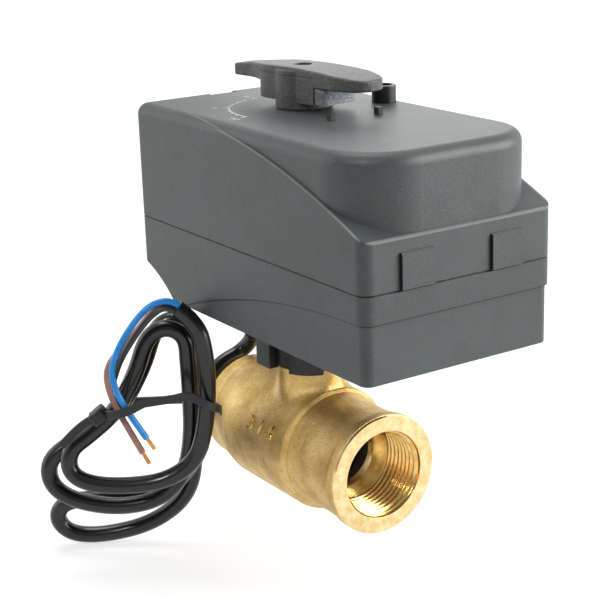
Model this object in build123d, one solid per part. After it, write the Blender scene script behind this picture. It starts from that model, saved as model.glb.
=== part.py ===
"""Electric water valve: a brass two-way ball valve, the geared actuator that turns it, and its tied lead.

The origin is on the pipe axis, in the mouth of the front port. +X points out of that port and +Z up
along the stem. All lengths are in millimetres. The valve is drawn closed.
"""
import os
from math import acos, atan2, cos, degrees, hypot, pi, radians, sin, sqrt, tan

from build123d import *

os.makedirs("parts", exist_ok=True)

# Running clearance round a shaft, and the gap left between free pieces
FIT = 0.05
GAP = 0.3

# Valve: ports, ball and stem
VALVE_LENGTH = 74.0
STEM_X = -36.0
THREAD_R = 13.22
THREAD_LENGTH = 15.0
RECESS_R = 12.4
RECESS_LENGTH = 3.5
FLOW_R = 9.5
BALL_R = FLOW_R + 5.0
SEAT_R = BALL_R - 1.5
SEAT_NEAR = BALL_R - 6.5
SEAT_FAR = BALL_R + 0.5
CHAMBER_R = BALL_R + 0.7
BARREL_R = 19.2
BARREL_FRONT = -24.0
REAR_COLLAR_R = 17.0
REAR_COLLAR_LENGTH = 6.0
NECK_R = 17.1
COLLAR_R = 18.07
COLLAR_LENGTH = 5.0
PAD_SIZE = 19.0
PAD_CORNER_R = 4.4
PAD_TOP = 24.0
PAD_BLEND = 4.0
LUG_TOP = 25.6
BOSS_R = 9.5
BOSS_TOP = 28.0
STEM_R = 4.0
SHOULDER_R = 5.5
TANG_WIDTH = 5.0
STEM_SQUARE = 5.6
STEM_TOP = 38.5
NUT_FLATS = 13.0
NUT_TOP = 31.5

# Mounting adapter between valve and actuator
ADAPTER_R = 10.8
ADAPTER_BORE_R = 8.0
EAR_OFFSET = 4.2
EAR_WIDTH = 7.4
EAR_REACH = 12.6
COUPLING_R = 7.2
COUPLING_TOP = 44.0

# Actuator housing
HOUSING_FRONT = 38.5
HOUSING_LENGTH = 116.5
HOUSING_RIGHT = -33.6
HOUSING_WIDTH = 62.2
HOUSING_BOTTOM = 44.5
PARTING_Z = 68.5
PARTING_GROOVE = 0.3
HOUSING_TOP = 102.8
WALL = 2.0
FLOOR = 2.5
CORNER_R = 3.5
TOP_FILLET = 3.5
HOOD_INSET = 0.7
HOOD_CORNER_R = 18.0
SKIRT_ARC_R = 221.0
SKIRT_ARC_X = -55.0
BASE_EDGE_R = 0.5
BASE_INSET = 0.7
STEP_ARC_R = 262.0
STEP_TOP = 60.9
STEP_ARC_X = 36.0
PAD_WIDTH = 10.2
PAD_HEIGHT = 9.8
PAD_PROUD = 1.0
PAD_SPREAD = 29.2
SCREW_INSET = 6.0
COLUMN_R = 4.4
HOUSING_REAR = HOUSING_FRONT - HOUSING_LENGTH
HOUSING_LEFT = HOUSING_RIGHT + HOUSING_WIDTH
HOUSING_X = (HOUSING_FRONT + HOUSING_REAR) / 2
HOUSING_Y = (HOUSING_RIGHT + HOUSING_LEFT) / 2

# Gear train: module, teeth and levels
MODULE = 1.0
PINION_TEETH = 12
WHEEL_TEETH = 32
OUTPUT_TEETH = 36
BACKLASH = 0.22
LOWER_PLATE_Z = 56.0
UPPER_PLATE_Z = 74.0
PLATE = 2.0
LEVEL_1 = 59.5
LEVEL_1_HEIGHT = 5.0
LEVEL_2 = 65.5
LEVEL_3 = 69.5
WHEEL_HEIGHT = 3.0
AXLE_R = 1.5
SHAFT_R = 5.0
SHAFT_NECK_R = 4.0
GEAR_2_ANGLE = -30.0
GEAR_1_ANGLE = 45.0
PINION_ANGLE = -20.0
SECTOR_BLANK_R = 12.0
SECTOR_FROM = -134.0
SECTOR_TO = -16.0

# Motor and electronics
MOTOR_CLEAR = 9.6
MOTOR_R = HOUSING_WIDTH / 2 - MOTOR_CLEAR
MOTOR_HEIGHT = 20.0
MOTOR_X = 11.5
MOTOR_Y = HOUSING_Y
EAR_CLEAR = 4.5
EAR_THICK = 1.5
BOARD_Z = 79.0
BOARD = 1.6
BOARD_FRONT = STEM_X + 22.0
BOARD_MARGIN = 4.1
REAR_MARGIN = 12.0
CAM_R = 8.0
CAM_HEIGHT = 4.5
CAM_LOW_Z = 82.0
CAM_STEP = 6.0

# Release button
BUTTON_X = -26.2
BUTTON_Y = HOUSING_LEFT - 7.3
BUTTON_R = 3.55
BUTTON_PROUD = 5.0
BUTTON_TOP = HOUSING_TOP + BUTTON_PROUD
BUTTON_TRAVEL = 2.0
ROD_R = 2.0
SPRING_WIRE = 0.6
SPRING_R = 2.8
SPRING_TURNS = 6

# Lever
LEVER_ANGLE = 8.0
LEVER_RISE = 12.2
LEVER_DEPTH = 9.8
LEVER_THICK = 5.1
LEVER_ARCH_R = 220.0
HUB_R = 8.3
LEVER_TOP = HOUSING_TOP + LEVER_RISE
LEVER_UNDER = LEVER_TOP - LEVER_DEPTH
SHAFT_TOP = LEVER_TOP - 3.8
HUB_BOTTOM = HOUSING_TOP + 0.4
LEVER_TAIL = 27.5
LEVER_NOSE = 29.5
TAIL_HALF = 3.3
NOSE_HALF = 7.3
INSERT_HALF = 6.7
WEB_BACK = 12.6
WEB_FRONT = 12.0
INSERT_FRONT = 15.7

# Lead
CABLE_D = 5.2
WIRE_D = 1.9
STRAND_D = 1.2
GLAND_X = HOUSING_REAR + REAR_MARGIN
GLAND_Y = 3.0
GLAND_BORE_R = CABLE_D / 2 + FIT
GLAND_R = 4.0

# Sizes that follow from the ones above
INNER_FLOOR = HOUSING_BOTTOM + FLOOR
INNER_ROOF = HOUSING_TOP - WALL


def at(x, y, z=0.0):
    return Location((x, y, z))


def disc(x, y, z0, z1, radius):
    """A round bar that stands along Z from z0 to z1."""
    return at(x, y, (z0 + z1) / 2) * Cylinder(radius, z1 - z0)


def ring(x, y, z0, z1, outer, inner):
    return disc(x, y, z0, z1, outer) - disc(x, y, z0, z1, inner)


def block(x0, x1, y0, y1, z0, z1):
    return at((x0 + x1) / 2, (y0 + y1) / 2, (z0 + z1) / 2) * Box(x1 - x0, y1 - y0, z1 - z0)


def turned_x(points):
    """A body turned about the pipe axis, from its half profile in x and r."""
    return revolve(Plane.XZ * make_face(Polyline(*points, close=True)), Axis.X, 360)


def turned_z(x, y, points):
    """A body turned about a vertical axis, from its half profile in r and z."""
    return at(x, y) * revolve(Plane.XZ * make_face(Polyline(*points, close=True)), Axis.Z, 360)


def prism(sketch, z0, z1):
    return extrude(at(0, 0, z0) * sketch, amount=z1 - z0)


def save(name, shape):
    shape.label = name
    export_step(shape, f"parts/{name}.step")


# Valve
ball = at(STEM_X, 0) * Sphere(BALL_R)
ball -= at(STEM_X, 0) * Rot(90, 0, 0) * Cylinder(FLOW_R, 3 * BALL_R)
TANG_BOTTOM = FLOW_R + 2.1
slot_half = TANG_WIDTH / 2 + FIT
ball -= block(STEM_X - BALL_R, STEM_X + BALL_R, -slot_half, slot_half, TANG_BOTTOM - FIT, BALL_R + 1)
save("ball", ball)


def seat_ring(side):
    """A seat on one side of the ball, hollowed to the ball's own curve."""
    socket_r = BALL_R + FIT
    lip = sqrt(socket_r ** 2 - FLOW_R ** 2)
    middle = (SEAT_NEAR + lip) / 2
    inner = (STEM_X + side * lip, FLOW_R)
    rim = (STEM_X + side * SEAT_NEAR, sqrt(socket_r ** 2 - SEAT_NEAR ** 2))
    outline = Polyline(
        rim, (STEM_X + side * SEAT_NEAR, SEAT_R), (STEM_X + side * SEAT_FAR, SEAT_R),
        (STEM_X + side * SEAT_FAR, FLOW_R), inner)
    outline += ThreePointArc(inner, (STEM_X + side * middle, sqrt(socket_r ** 2 - middle ** 2)), rim)
    return revolve(Plane.XZ * make_face(outline), Axis.X, 360)


save("seat_rings", Compound([seat_ring(-1), seat_ring(1)]))

# Main body: rear port, barrel, pad and stem boss in one casting
rear = -VALVE_LENGTH
barrel = turned_x([
    (rear, 0), (rear, REAR_COLLAR_R - 1), (rear + 1, REAR_COLLAR_R),
    (rear + REAR_COLLAR_LENGTH, REAR_COLLAR_R), (rear + 13, BARREL_R - 0.6), (rear + 16, BARREL_R),
    (BARREL_FRONT, BARREL_R), (BARREL_FRONT, 0),
])
pad_sketch = at(STEM_X, 0) * Rot(0, 0, 45) * RectangleRounded(PAD_SIZE, PAD_SIZE, PAD_CORNER_R)
pad = prism(pad_sketch, CHAMBER_R - 2, LUG_TOP)
pad = fillet(pad.faces().sort_by(Axis.Z)[-1].edges(), 0.6)
casting = barrel + pad
foot = [e for e in casting.edges() if hypot(e.center().X - STEM_X, e.center().Y) < PAD_SIZE / sqrt(2)
        and CHAMBER_R - 1.5 < e.center().Z < BARREL_R + 0.1]
casting = fillet(foot, PAD_BLEND)
casting -= turned_x([
    (BARREL_FRONT - 1.8, BARREL_R), (BARREL_FRONT - 0.9, BARREL_R - 0.3), (BARREL_FRONT, BARREL_R - 1.1),
    (BARREL_FRONT, BARREL_R + 0.2), (BARREL_FRONT - 1.8, BARREL_R + 0.2),
])
casting -= disc(STEM_X, 0, PAD_TOP, LUG_TOP + 1, ADAPTER_R + FIT)
ear_front = STEM_X - EAR_OFFSET
ear = block(ear_front - EAR_WIDTH, ear_front, -EAR_REACH, -3, PAD_TOP, HOUSING_BOTTOM)
casting += disc(STEM_X, 0, PAD_TOP - 1, BOSS_TOP, BOSS_R)
recess_end = rear + THREAD_LENGTH + RECESS_LENGTH
casting -= turned_x([
    (rear - 1, 0), (rear - 1, THREAD_R), (rear + THREAD_LENGTH, THREAD_R), (rear + THREAD_LENGTH, RECESS_R),
    (recess_end, RECESS_R), (recess_end, FLOW_R), (STEM_X - SEAT_FAR, FLOW_R),
    (STEM_X - SEAT_FAR, SEAT_R), (STEM_X - SEAT_NEAR, SEAT_R), (STEM_X - SEAT_NEAR, CHAMBER_R),
    (BARREL_FRONT + 1, CHAMBER_R), (BARREL_FRONT + 1, 0),
])
SHOULDER_Z = BALL_R + 1.1
SHOULDER_TOP = SHOULDER_Z + 1.8
casting -= disc(STEM_X, 0, BALL_R - 3, SHOULDER_TOP + FIT, SHOULDER_R + FIT)
casting -= disc(STEM_X, 0, SHOULDER_TOP - 1, BOSS_TOP + 1, STEM_R + FIT)
NUT_SPIGOT_R = 6.0
casting -= disc(STEM_X, 0, BOSS_TOP - 2, BOSS_TOP + 1, NUT_SPIGOT_R)
save("valve_body", casting)

# Front end piece, screwed into the barrel as far as its shoulder
spigot_end = STEM_X + SEAT_NEAR
end_piece = turned_x([
    (spigot_end, SEAT_R), (spigot_end, CHAMBER_R), (BARREL_FRONT, CHAMBER_R), (BARREL_FRONT, BARREL_R - 1.2),
    (BARREL_FRONT + 2, NECK_R + 0.4), (BARREL_FRONT + 5, NECK_R + 0.05), (-COLLAR_LENGTH - 7, NECK_R),
    (-COLLAR_LENGTH - 3.5, NECK_R + 0.15), (-COLLAR_LENGTH, (NECK_R + COLLAR_R) / 2),
    (-COLLAR_LENGTH + 2, COLLAR_R), (-0.6, COLLAR_R),
    (0, COLLAR_R - 0.6), (0, THREAD_R), (-THREAD_LENGTH, THREAD_R),
    (-THREAD_LENGTH, RECESS_R), (-THREAD_LENGTH - RECESS_LENGTH, RECESS_R),
    (-THREAD_LENGTH - RECESS_LENGTH, FLOW_R), (STEM_X + SEAT_FAR, FLOW_R), (STEM_X + SEAT_FAR, SEAT_R),
])
save("valve_end", end_piece)

# Stem: tang, blow-out shoulder, two ring grooves and a square top
GROOVE_R = 3.0
GROOVES = (20.0, 23.2)
GROOVE_HEIGHT = 1.5
SQUARE_BOTTOM = NUT_TOP + 0.5
stem = disc(STEM_X, 0, SHOULDER_Z, SHOULDER_TOP, SHOULDER_R)
stem += disc(STEM_X, 0, SHOULDER_Z, SQUARE_BOTTOM, STEM_R)
tang = disc(STEM_X, 0, TANG_BOTTOM, SHOULDER_Z, SHOULDER_R)
tang &= block(STEM_X - 9, STEM_X + 9, -TANG_WIDTH / 2, TANG_WIDTH / 2, TANG_BOTTOM, SHOULDER_Z)
stem += tang
stem += at(STEM_X, 0, (SQUARE_BOTTOM + STEM_TOP) / 2) * Box(STEM_SQUARE, STEM_SQUARE, STEM_TOP - SQUARE_BOTTOM)
rings = []
for z in GROOVES:
    rings.append(ring(STEM_X, 0, z, z + GROOVE_HEIGHT, STEM_R, GROOVE_R))
    stem -= ring(STEM_X, 0, z, z + GROOVE_HEIGHT, STEM_R + 1, GROOVE_R)
save("stem", stem)
save("stem_seals", Compound(rings))

nut = prism(at(STEM_X, 0) * RegularPolygon(NUT_FLATS / 2, 6, major_radius=False), BOSS_TOP, NUT_TOP)
nut += disc(STEM_X, 0, BOSS_TOP - 2, BOSS_TOP, NUT_SPIGOT_R)
nut -= disc(STEM_X, 0, BOSS_TOP - 3, NUT_TOP + 1, STEM_R + FIT)
save("gland_nut", nut)

# Adapter and coupling
adapter = disc(STEM_X, 0, PAD_TOP, HOUSING_BOTTOM, ADAPTER_R)
adapter += ear
GRUB_Z = PAD_TOP + 2.1
GRUB_R = 1.25
grub_end = ADAPTER_R + 0.4
adapter -= disc(STEM_X, 0, PAD_TOP - 1, BOSS_TOP + 1, BOSS_R)
adapter -= disc(STEM_X, 0, BOSS_TOP, HOUSING_BOTTOM + 1, ADAPTER_BORE_R)
adapter -= block(ear_front, ear_front + 1.2, -EAR_REACH, -BOSS_R + 2, PAD_TOP - 1, PAD_TOP + 14)
grub = at((BOSS_R + grub_end) / 2, 0) * Rot(0, 90, 0) * Cylinder(GRUB_R, grub_end - BOSS_R)
grub = at(STEM_X, 0, GRUB_Z) * Rot(0, 0, 45) * grub
adapter -= grub
ADAPTER_SCREW_R = 1.0
ADAPTER_SCREW_PITCH_R = (ADAPTER_BORE_R + ADAPTER_R) / 2
adapter_places = [
    (STEM_X + ADAPTER_SCREW_PITCH_R * cos(radians(a)), ADAPTER_SCREW_PITCH_R * sin(radians(a)))
    for a in (45, 135, 225, 315)
]
ADAPTER_SCREW_BOTTOM = 36.0
adapter_screws = []
for x, y in adapter_places:
    adapter -= disc(x, y, ADAPTER_SCREW_BOTTOM, HOUSING_BOTTOM, ADAPTER_SCREW_R)
    adapter_screws.append(
        disc(x, y, ADAPTER_SCREW_BOTTOM, INNER_FLOOR, ADAPTER_SCREW_R)
        + disc(x, y, INNER_FLOOR, INNER_FLOOR + 1.4, 1.9)
    )
save("mounting_adapter", adapter)
save("adapter_grub_screw", grub)
save("adapter_screws", Compound(adapter_screws))

SHAFT_SQUARE = 7.0
SHAFT_SQUARE_BOTTOM = STEM_TOP + 1.5
COUPLING_BOTTOM = NUT_TOP + 0.7
coupling = disc(STEM_X, 0, COUPLING_BOTTOM, COUPLING_TOP, COUPLING_R)
coupling -= at(STEM_X, 0, (COUPLING_BOTTOM + STEM_TOP) / 2) * Box(
    STEM_SQUARE, STEM_SQUARE, STEM_TOP - COUPLING_BOTTOM)
coupling -= at(STEM_X, 0, (SHAFT_SQUARE_BOTTOM + COUPLING_TOP) / 2) * Box(
    SHAFT_SQUARE, SHAFT_SQUARE, COUPLING_TOP - SHAFT_SQUARE_BOTTOM)
save("stem_coupling", coupling)

# Housing
def footprint(inset, corner):
    return at(HOUSING_X, HOUSING_Y) * RectangleRounded(
        HOUSING_LENGTH - 2 * inset, HOUSING_WIDTH - 2 * inset, corner)


def hood_sketch(inset, front_corner, rear_corner):
    """The hood seen from above: wide round front corners, small rear ones."""
    x0, x1 = HOUSING_REAR + inset, HOUSING_FRONT - inset - 0.2
    y0, y1 = HOUSING_RIGHT + inset, HOUSING_LEFT - inset
    sketch = at((x0 + x1) / 2, (y0 + y1) / 2) * Rectangle(x1 - x0, y1 - y0)
    corners = sketch.vertices().sort_by(Axis.X)
    sketch = fillet(corners[-2:], front_corner)
    return fillet(sketch.vertices().sort_by(Axis.X)[:2], rear_corner)


def arc_roof(drop):
    """All that lies under the skirt's curved top edge, which falls towards the front."""
    centre_z = HOUSING_TOP - SKIRT_ARC_R
    roof = Cylinder(SKIRT_ARC_R - drop, HOUSING_WIDTH + 4)
    flat = block(HOUSING_REAR - 1, SKIRT_ARC_X, HOUSING_RIGHT - 1, HOUSING_LEFT + 1,
                 PARTING_Z - 1, HOUSING_TOP - drop)
    return at(SKIRT_ARC_X, HOUSING_Y, centre_z) * Rot(90, 0, 0) * roof + flat


def parting_rim(solid):
    """The outer edges of the face where one half of the housing meets the other."""
    faces = [f for f in solid.faces() if abs(f.center().Z - PARTING_Z) < 0.001]
    return max(faces, key=lambda f: f.outer_wire().length).outer_wire().edges()


def rounded_top(solid):
    top = solid.faces().sort_by(Axis.Z)[-1]
    return fillet(top.outer_wire().edges(), TOP_FILLET)


skirt = rounded_top(prism(footprint(0, CORNER_R), PARTING_Z, HOUSING_TOP)) & arc_roof(0)
hood = rounded_top(prism(hood_sketch(HOOD_INSET, HOOD_CORNER_R, CORNER_R), PARTING_Z, HOUSING_TOP))
cover_outside = skirt + hood
skirt_hollow = prism(footprint(WALL, CORNER_R - WALL), PARTING_Z, INNER_ROOF) & arc_roof(WALL)
hood_hollow = prism(
    hood_sketch(HOOD_INSET + WALL, HOOD_CORNER_R - WALL, CORNER_R - WALL), PARTING_Z, INNER_ROOF)
cover = cover_outside - (skirt_hollow + hood_hollow)

screw_places = [
    (x, y)
    for x in (HOUSING_REAR + SCREW_INSET, HOUSING_FRONT - SCREW_INSET)
    for y in (HOUSING_RIGHT + SCREW_INSET, HOUSING_LEFT - SCREW_INSET)
]
SCREW_R = 1.6
SCREW_HEAD_R = 3.0
SCREW_SEAT = 60.0
SCREW_TOP = 77.0
for x, y in screw_places:
    cover += disc(x, y, PARTING_Z, SCREW_TOP + 6, COLUMN_R) & cover_outside
    cover -= disc(x, y, PARTING_Z - 1, SCREW_TOP, SCREW_R)

# Shaft guide with its seal groove, button hole, stop pips and the notch in the rear top edge
GUIDE_BOTTOM = 96.5
SEAL_Z = 98.2
SEAL_HEIGHT = 1.6
SEAL_R = 6.0
cover += disc(STEM_X, 0, GUIDE_BOTTOM, INNER_ROOF, 7.5)
cover -= disc(STEM_X, 0, GUIDE_BOTTOM - 1, HOUSING_TOP + 1, SHAFT_NECK_R + FIT)
cover -= disc(STEM_X, 0, SEAL_Z, SEAL_Z + SEAL_HEIGHT, SEAL_R)
cover -= disc(BUTTON_X, BUTTON_Y, INNER_ROOF - 1, HOUSING_TOP + 1, BUTTON_R + FIT)
for y in (-8.0, 8.0):
    cover += block(-12.0, -9.8, y - 0.7, y + 0.7, HOUSING_TOP - 0.5, HOUSING_TOP + 2.0)
cover -= block(HOUSING_REAR - 1, HOUSING_REAR + 5, -9.2, -0.2, HOUSING_TOP - 1.1, HOUSING_TOP + 1)
for y in (HOUSING_Y - PAD_SPREAD / 2, HOUSING_Y + PAD_SPREAD / 2):
    latch = block(HOUSING_FRONT - 0.5, HOUSING_FRONT + PAD_PROUD, y - PAD_WIDTH / 2, y + PAD_WIDTH / 2,
                  PARTING_Z, PARTING_Z + PAD_HEIGHT)
    cover += chamfer(latch.edges().filter_by(Axis.Y).group_by(Axis.X)[-1].sort_by(Axis.Z)[-1], 0.6)
save("housing_cover", chamfer(parting_rim(cover), PARTING_GROOVE))
save("shaft_seal", ring(STEM_X, 0, SEAL_Z, SEAL_Z + SEAL_HEIGHT, SEAL_R, SHAFT_NECK_R + FIT))

# Base: a band of the full outline over a slightly smaller tub, with a scooped rear underside
step_tool = at(STEP_ARC_X, HOUSING_Y, STEP_TOP - STEP_ARC_R) * Rot(90, 0, 0) * Cylinder(
    STEP_ARC_R, HOUSING_WIDTH + 4)
base = prism(footprint(0, CORNER_R), HOUSING_BOTTOM, PARTING_Z) - step_tool
base += prism(footprint(BASE_INSET, CORNER_R - BASE_INSET), HOUSING_BOTTOM, PARTING_Z)
SCOOP_FRONT = 19.2
SCOOP_HEIGHT = 10.4


def scoop_line(offset):
    """The rear underside in x and z: a shallow arc from the rear wall down to the flat bottom."""
    x0, x1 = HOUSING_REAR, HOUSING_REAR + SCOOP_FRONT
    return ThreePointArc(
        (x0, HOUSING_BOTTOM + SCOOP_HEIGHT + offset),
        ((x0 + x1) / 2, HOUSING_BOTTOM + 0.66 * SCOOP_HEIGHT + offset),
        (x1, HOUSING_BOTTOM + offset))


def under_scoop(offset, bottom):
    """The space under the scoop line, as a bar along Y."""
    arc = scoop_line(offset)
    outline = arc + Polyline(arc @ 1, ((arc @ 1).X, bottom), (HOUSING_REAR, bottom), arc @ 0)
    return at(0, HOUSING_Y) * extrude(Plane.XZ * make_face(outline), amount=HOUSING_WIDTH / 2 + 2, both=True)


base -= under_scoop(0, HOUSING_BOTTOM - 2)
base = fillet(base.faces().sort_by(Axis.Z)[0].outer_wire().edges(), BASE_EDGE_R)
hollow = prism(footprint(WALL + 0.4, 1.0), INNER_FLOOR, PARTING_Z)
hollow -= under_scoop(FLOOR + 0.6, HOUSING_BOTTOM)
base -= hollow

PLATE_X = (HOUSING_REAR + 20.0, HOUSING_FRONT - 11.5)
PLATE_Y = (HOUSING_RIGHT + BOARD_MARGIN, HOUSING_LEFT - BOARD_MARGIN)
pillar_places = [
    (x, y) for x in (PLATE_X[0] + 6.0, PLATE_X[1] - 3.5) for y in (PLATE_Y[0] + 5.0, PLATE_Y[1] - 5.0)
]
PILLAR_R = 2.6
PILLAR_SCREW_R = 1.25
PILLAR_SCREW_BOTTOM = 50.0
for x, y in pillar_places:
    base += disc(x, y, INNER_FLOOR - 0.5, LOWER_PLATE_Z, PILLAR_R + 0.8)
    base -= disc(x, y, PILLAR_SCREW_BOTTOM, LOWER_PLATE_Z, PILLAR_SCREW_R)
for x, y in screw_places:
    base += disc(x, y, HOUSING_BOTTOM, PARTING_Z, COLUMN_R) - under_scoop(0, HOUSING_BOTTOM - 2)
    base -= disc(x, y, SCREW_SEAT - 2, PARTING_Z + 1, SCREW_R)
    base -= disc(x, y, HOUSING_BOTTOM - 1, SCREW_SEAT, SCREW_HEAD_R + 0.2)
base -= disc(STEM_X, 0, HOUSING_BOTTOM - 1, INNER_FLOOR + 1, SHAFT_R + FIT)
for x, y in adapter_places:
    base -= disc(x, y, HOUSING_BOTTOM - 1, INNER_FLOOR + 1, ADAPTER_SCREW_R)
GLAND_BOSS_BOTTOM = HOUSING_BOTTOM
GLAND_BOSS_TOP = 57.0
base += disc(GLAND_X, GLAND_Y, GLAND_BOSS_BOTTOM, GLAND_BOSS_TOP, 7.0)
base -= disc(GLAND_X, GLAND_Y, GLAND_BOSS_BOTTOM - 3, GLAND_BOSS_TOP + 1, GLAND_R)
GASKET_INSET = 0.9
GASKET_WIDTH = 1.0
GASKET_HEIGHT = 1.0
gasket = prism(
    footprint(GASKET_INSET, CORNER_R - GASKET_INSET)
    - footprint(GASKET_INSET + GASKET_WIDTH, CORNER_R - GASKET_INSET - GASKET_WIDTH),
    PARTING_Z - GASKET_HEIGHT, PARTING_Z)
base -= gasket
save("housing_base", chamfer(parting_rim(base), PARTING_GROOVE))
save("housing_gasket", gasket)
save("housing_screws", Compound([
    disc(x, y, SCREW_SEAT - 2.2, SCREW_SEAT, SCREW_HEAD_R) + disc(x, y, SCREW_SEAT, SCREW_TOP, SCREW_R)
    for x, y in screw_places
]))

# Gear train
PINION_RADIUS = MODULE * PINION_TEETH / 2
WHEEL_RADIUS = MODULE * WHEEL_TEETH / 2
OUTPUT_RADIUS = MODULE * OUTPUT_TEETH / 2


def step_to(place, angle, distance):
    return place[0] + distance * cos(radians(angle)), place[1] + distance * sin(radians(angle))


OUTPUT = (STEM_X, 0.0)
GEAR_2 = step_to(OUTPUT, GEAR_2_ANGLE, OUTPUT_RADIUS + PINION_RADIUS)
GEAR_1 = step_to(GEAR_2, GEAR_1_ANGLE, WHEEL_RADIUS + PINION_RADIUS)
PINION = step_to(GEAR_1, PINION_ANGLE, WHEEL_RADIUS + PINION_RADIUS)


def flank(teeth):
    """Radius and half tooth angle at the root, the pitch line and the tip of an involute tooth."""
    pitch = MODULE * teeth / 2
    base_r = pitch * cos(radians(20))
    half = pi / (2 * teeth) - BACKLASH / (2 * pitch)
    inv_pitch = tan(radians(20)) - radians(20)
    points = []
    for radius in (pitch - 1.05 * MODULE, pitch, pitch + 0.4 * MODULE, pitch + 0.8 * MODULE):
        if radius <= base_r:
            points.append((radius, half + inv_pitch))
        else:
            lean = acos(base_r / radius)
            points.append((radius, half + inv_pitch - (tan(lean) - lean)))
    return points


def gear_face(teeth, phase, span=None):
    """A toothed disc seen from above, one tooth centred at the phase angle. With a span of angles,
    only the teeth within it are cut and the rest of the rim has the blank radius."""
    pitch_angle = 2 * pi / teeth
    outline = []
    for k in range(teeth):
        centre = radians(phase) + k * pitch_angle
        turn = degrees(centre)
        if span:
            turn = (turn - span[0]) % 360 + span[0]
            if turn > span[1]:
                continue
            centre = radians(turn)
        outline.append((centre, flank(teeth)))
    outline.sort(key=lambda tooth: tooth[0])
    points = []
    for centre, side in outline:
        points += [(r * cos(centre - a), r * sin(centre - a)) for r, a in side]
        points += [(r * cos(centre + a), r * sin(centre + a)) for r, a in reversed(side)]
    if span:
        start, end = outline[-1][0] + pitch_angle, outline[0][0] + 2 * pi - pitch_angle
        points += [(SECTOR_BLANK_R * cos(start + (end - start) * i / 20),
                    SECTOR_BLANK_R * sin(start + (end - start) * i / 20)) for i in range(21)]
    return make_face(Polyline(*points, close=True))


def meshing_phase(teeth_a, phase_a, angle, teeth_b):
    """Phase of gear B, which lies from gear A at the given angle, so that a gap meets a tooth."""
    part_a = (angle - phase_a) / (360 / teeth_a) % 1
    return angle + 180 - (0.5 - part_a) * 360 / teeth_b


def toothed(place, teeth, phase, z0, height, span=None):
    return at(*place, z0) * extrude(gear_face(teeth, phase, span), amount=height)


OUTPUT_PHASE = GEAR_2_ANGLE
GEAR_2_PHASE = meshing_phase(OUTPUT_TEETH, OUTPUT_PHASE, GEAR_2_ANGLE, PINION_TEETH)
GEAR_1_PHASE = meshing_phase(WHEEL_TEETH, 0, GEAR_1_ANGLE, PINION_TEETH)
PINION_PHASE = meshing_phase(WHEEL_TEETH, 0, PINION_ANGLE, PINION_TEETH)

output_gear = toothed(OUTPUT, OUTPUT_TEETH, OUTPUT_PHASE, LEVEL_1, LEVEL_1_HEIGHT, (SECTOR_FROM, SECTOR_TO))
output_gear -= disc(*OUTPUT, LEVEL_1 - 1, LEVEL_1 + LEVEL_1_HEIGHT + 1, SHAFT_R)
save("output_gear", output_gear)

gear_2 = toothed(GEAR_2, PINION_TEETH, GEAR_2_PHASE, LEVEL_1 - 0.5, LEVEL_2 - LEVEL_1 + 0.5)
gear_2 += toothed(GEAR_2, WHEEL_TEETH, 0, LEVEL_2, WHEEL_HEIGHT)
gear_2 += disc(*GEAR_2, LEVEL_2, UPPER_PLATE_Z - GAP, 3.2)
gear_2 += disc(*GEAR_2, LOWER_PLATE_Z + PLATE + GAP, LEVEL_1, 3.2)
gear_2 -= disc(*GEAR_2, LOWER_PLATE_Z, UPPER_PLATE_Z, AXLE_R + FIT)
save("gear_2", gear_2)

gear_1 = toothed(GEAR_1, PINION_TEETH, GEAR_1_PHASE, LEVEL_2 - 0.5, LEVEL_3 - LEVEL_2 + 0.5)
gear_1 += toothed(GEAR_1, WHEEL_TEETH, 0, LEVEL_3, WHEEL_HEIGHT)
gear_1 += disc(*GEAR_1, LEVEL_3, UPPER_PLATE_Z - GAP, 3.2)
gear_1 += disc(*GEAR_1, LOWER_PLATE_Z + PLATE + GAP, LEVEL_2, 3.2)
gear_1 -= disc(*GEAR_1, LOWER_PLATE_Z, UPPER_PLATE_Z, AXLE_R + FIT)
save("gear_1", gear_1)

UPPER_TOP = UPPER_PLATE_Z + PLATE
motor_pinion = toothed(PINION, PINION_TEETH, PINION_PHASE, LEVEL_3 - 0.4, WHEEL_HEIGHT + 0.8)
motor_pinion += disc(*PINION, LEVEL_3 - 0.4, UPPER_TOP + 5.5, AXLE_R)
save("motor_pinion", motor_pinion)

save("gear_axles", Compound([
    disc(*place, LOWER_PLATE_Z, UPPER_TOP, AXLE_R) for place in (GEAR_1, GEAR_2)
]))

# Plates, spacers and the screws that clamp the gearbox to the base
plate_sketch = at(sum(PLATE_X) / 2, sum(PLATE_Y) / 2) * RectangleRounded(
    PLATE_X[1] - PLATE_X[0], PLATE_Y[1] - PLATE_Y[0], 4)
lower_plate = prism(plate_sketch, LOWER_PLATE_Z, LOWER_PLATE_Z + PLATE)
upper_plate = prism(plate_sketch, UPPER_PLATE_Z, UPPER_TOP)
ROD_HOLE = disc(BUTTON_X, BUTTON_Y, UPPER_PLATE_Z - 1, UPPER_TOP + 1, ROD_R + FIT)
for z, plate in ((LOWER_PLATE_Z, "lower"), (UPPER_PLATE_Z, "upper")):
    holes = disc(*OUTPUT, z - 1, z + PLATE + 1, SHAFT_R + FIT)
    for place in (GEAR_1, GEAR_2):
        holes += disc(*place, z - 1, z + PLATE + 1, AXLE_R)
    for place in pillar_places:
        holes += disc(*place, z - 1, z + PLATE + 1, PILLAR_SCREW_R)
    if plate == "lower":
        lower_plate -= holes
    else:
        upper_plate -= holes + ROD_HOLE + disc(*PINION, z - 1, z + PLATE + 1, AXLE_R + 0.7)

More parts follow.
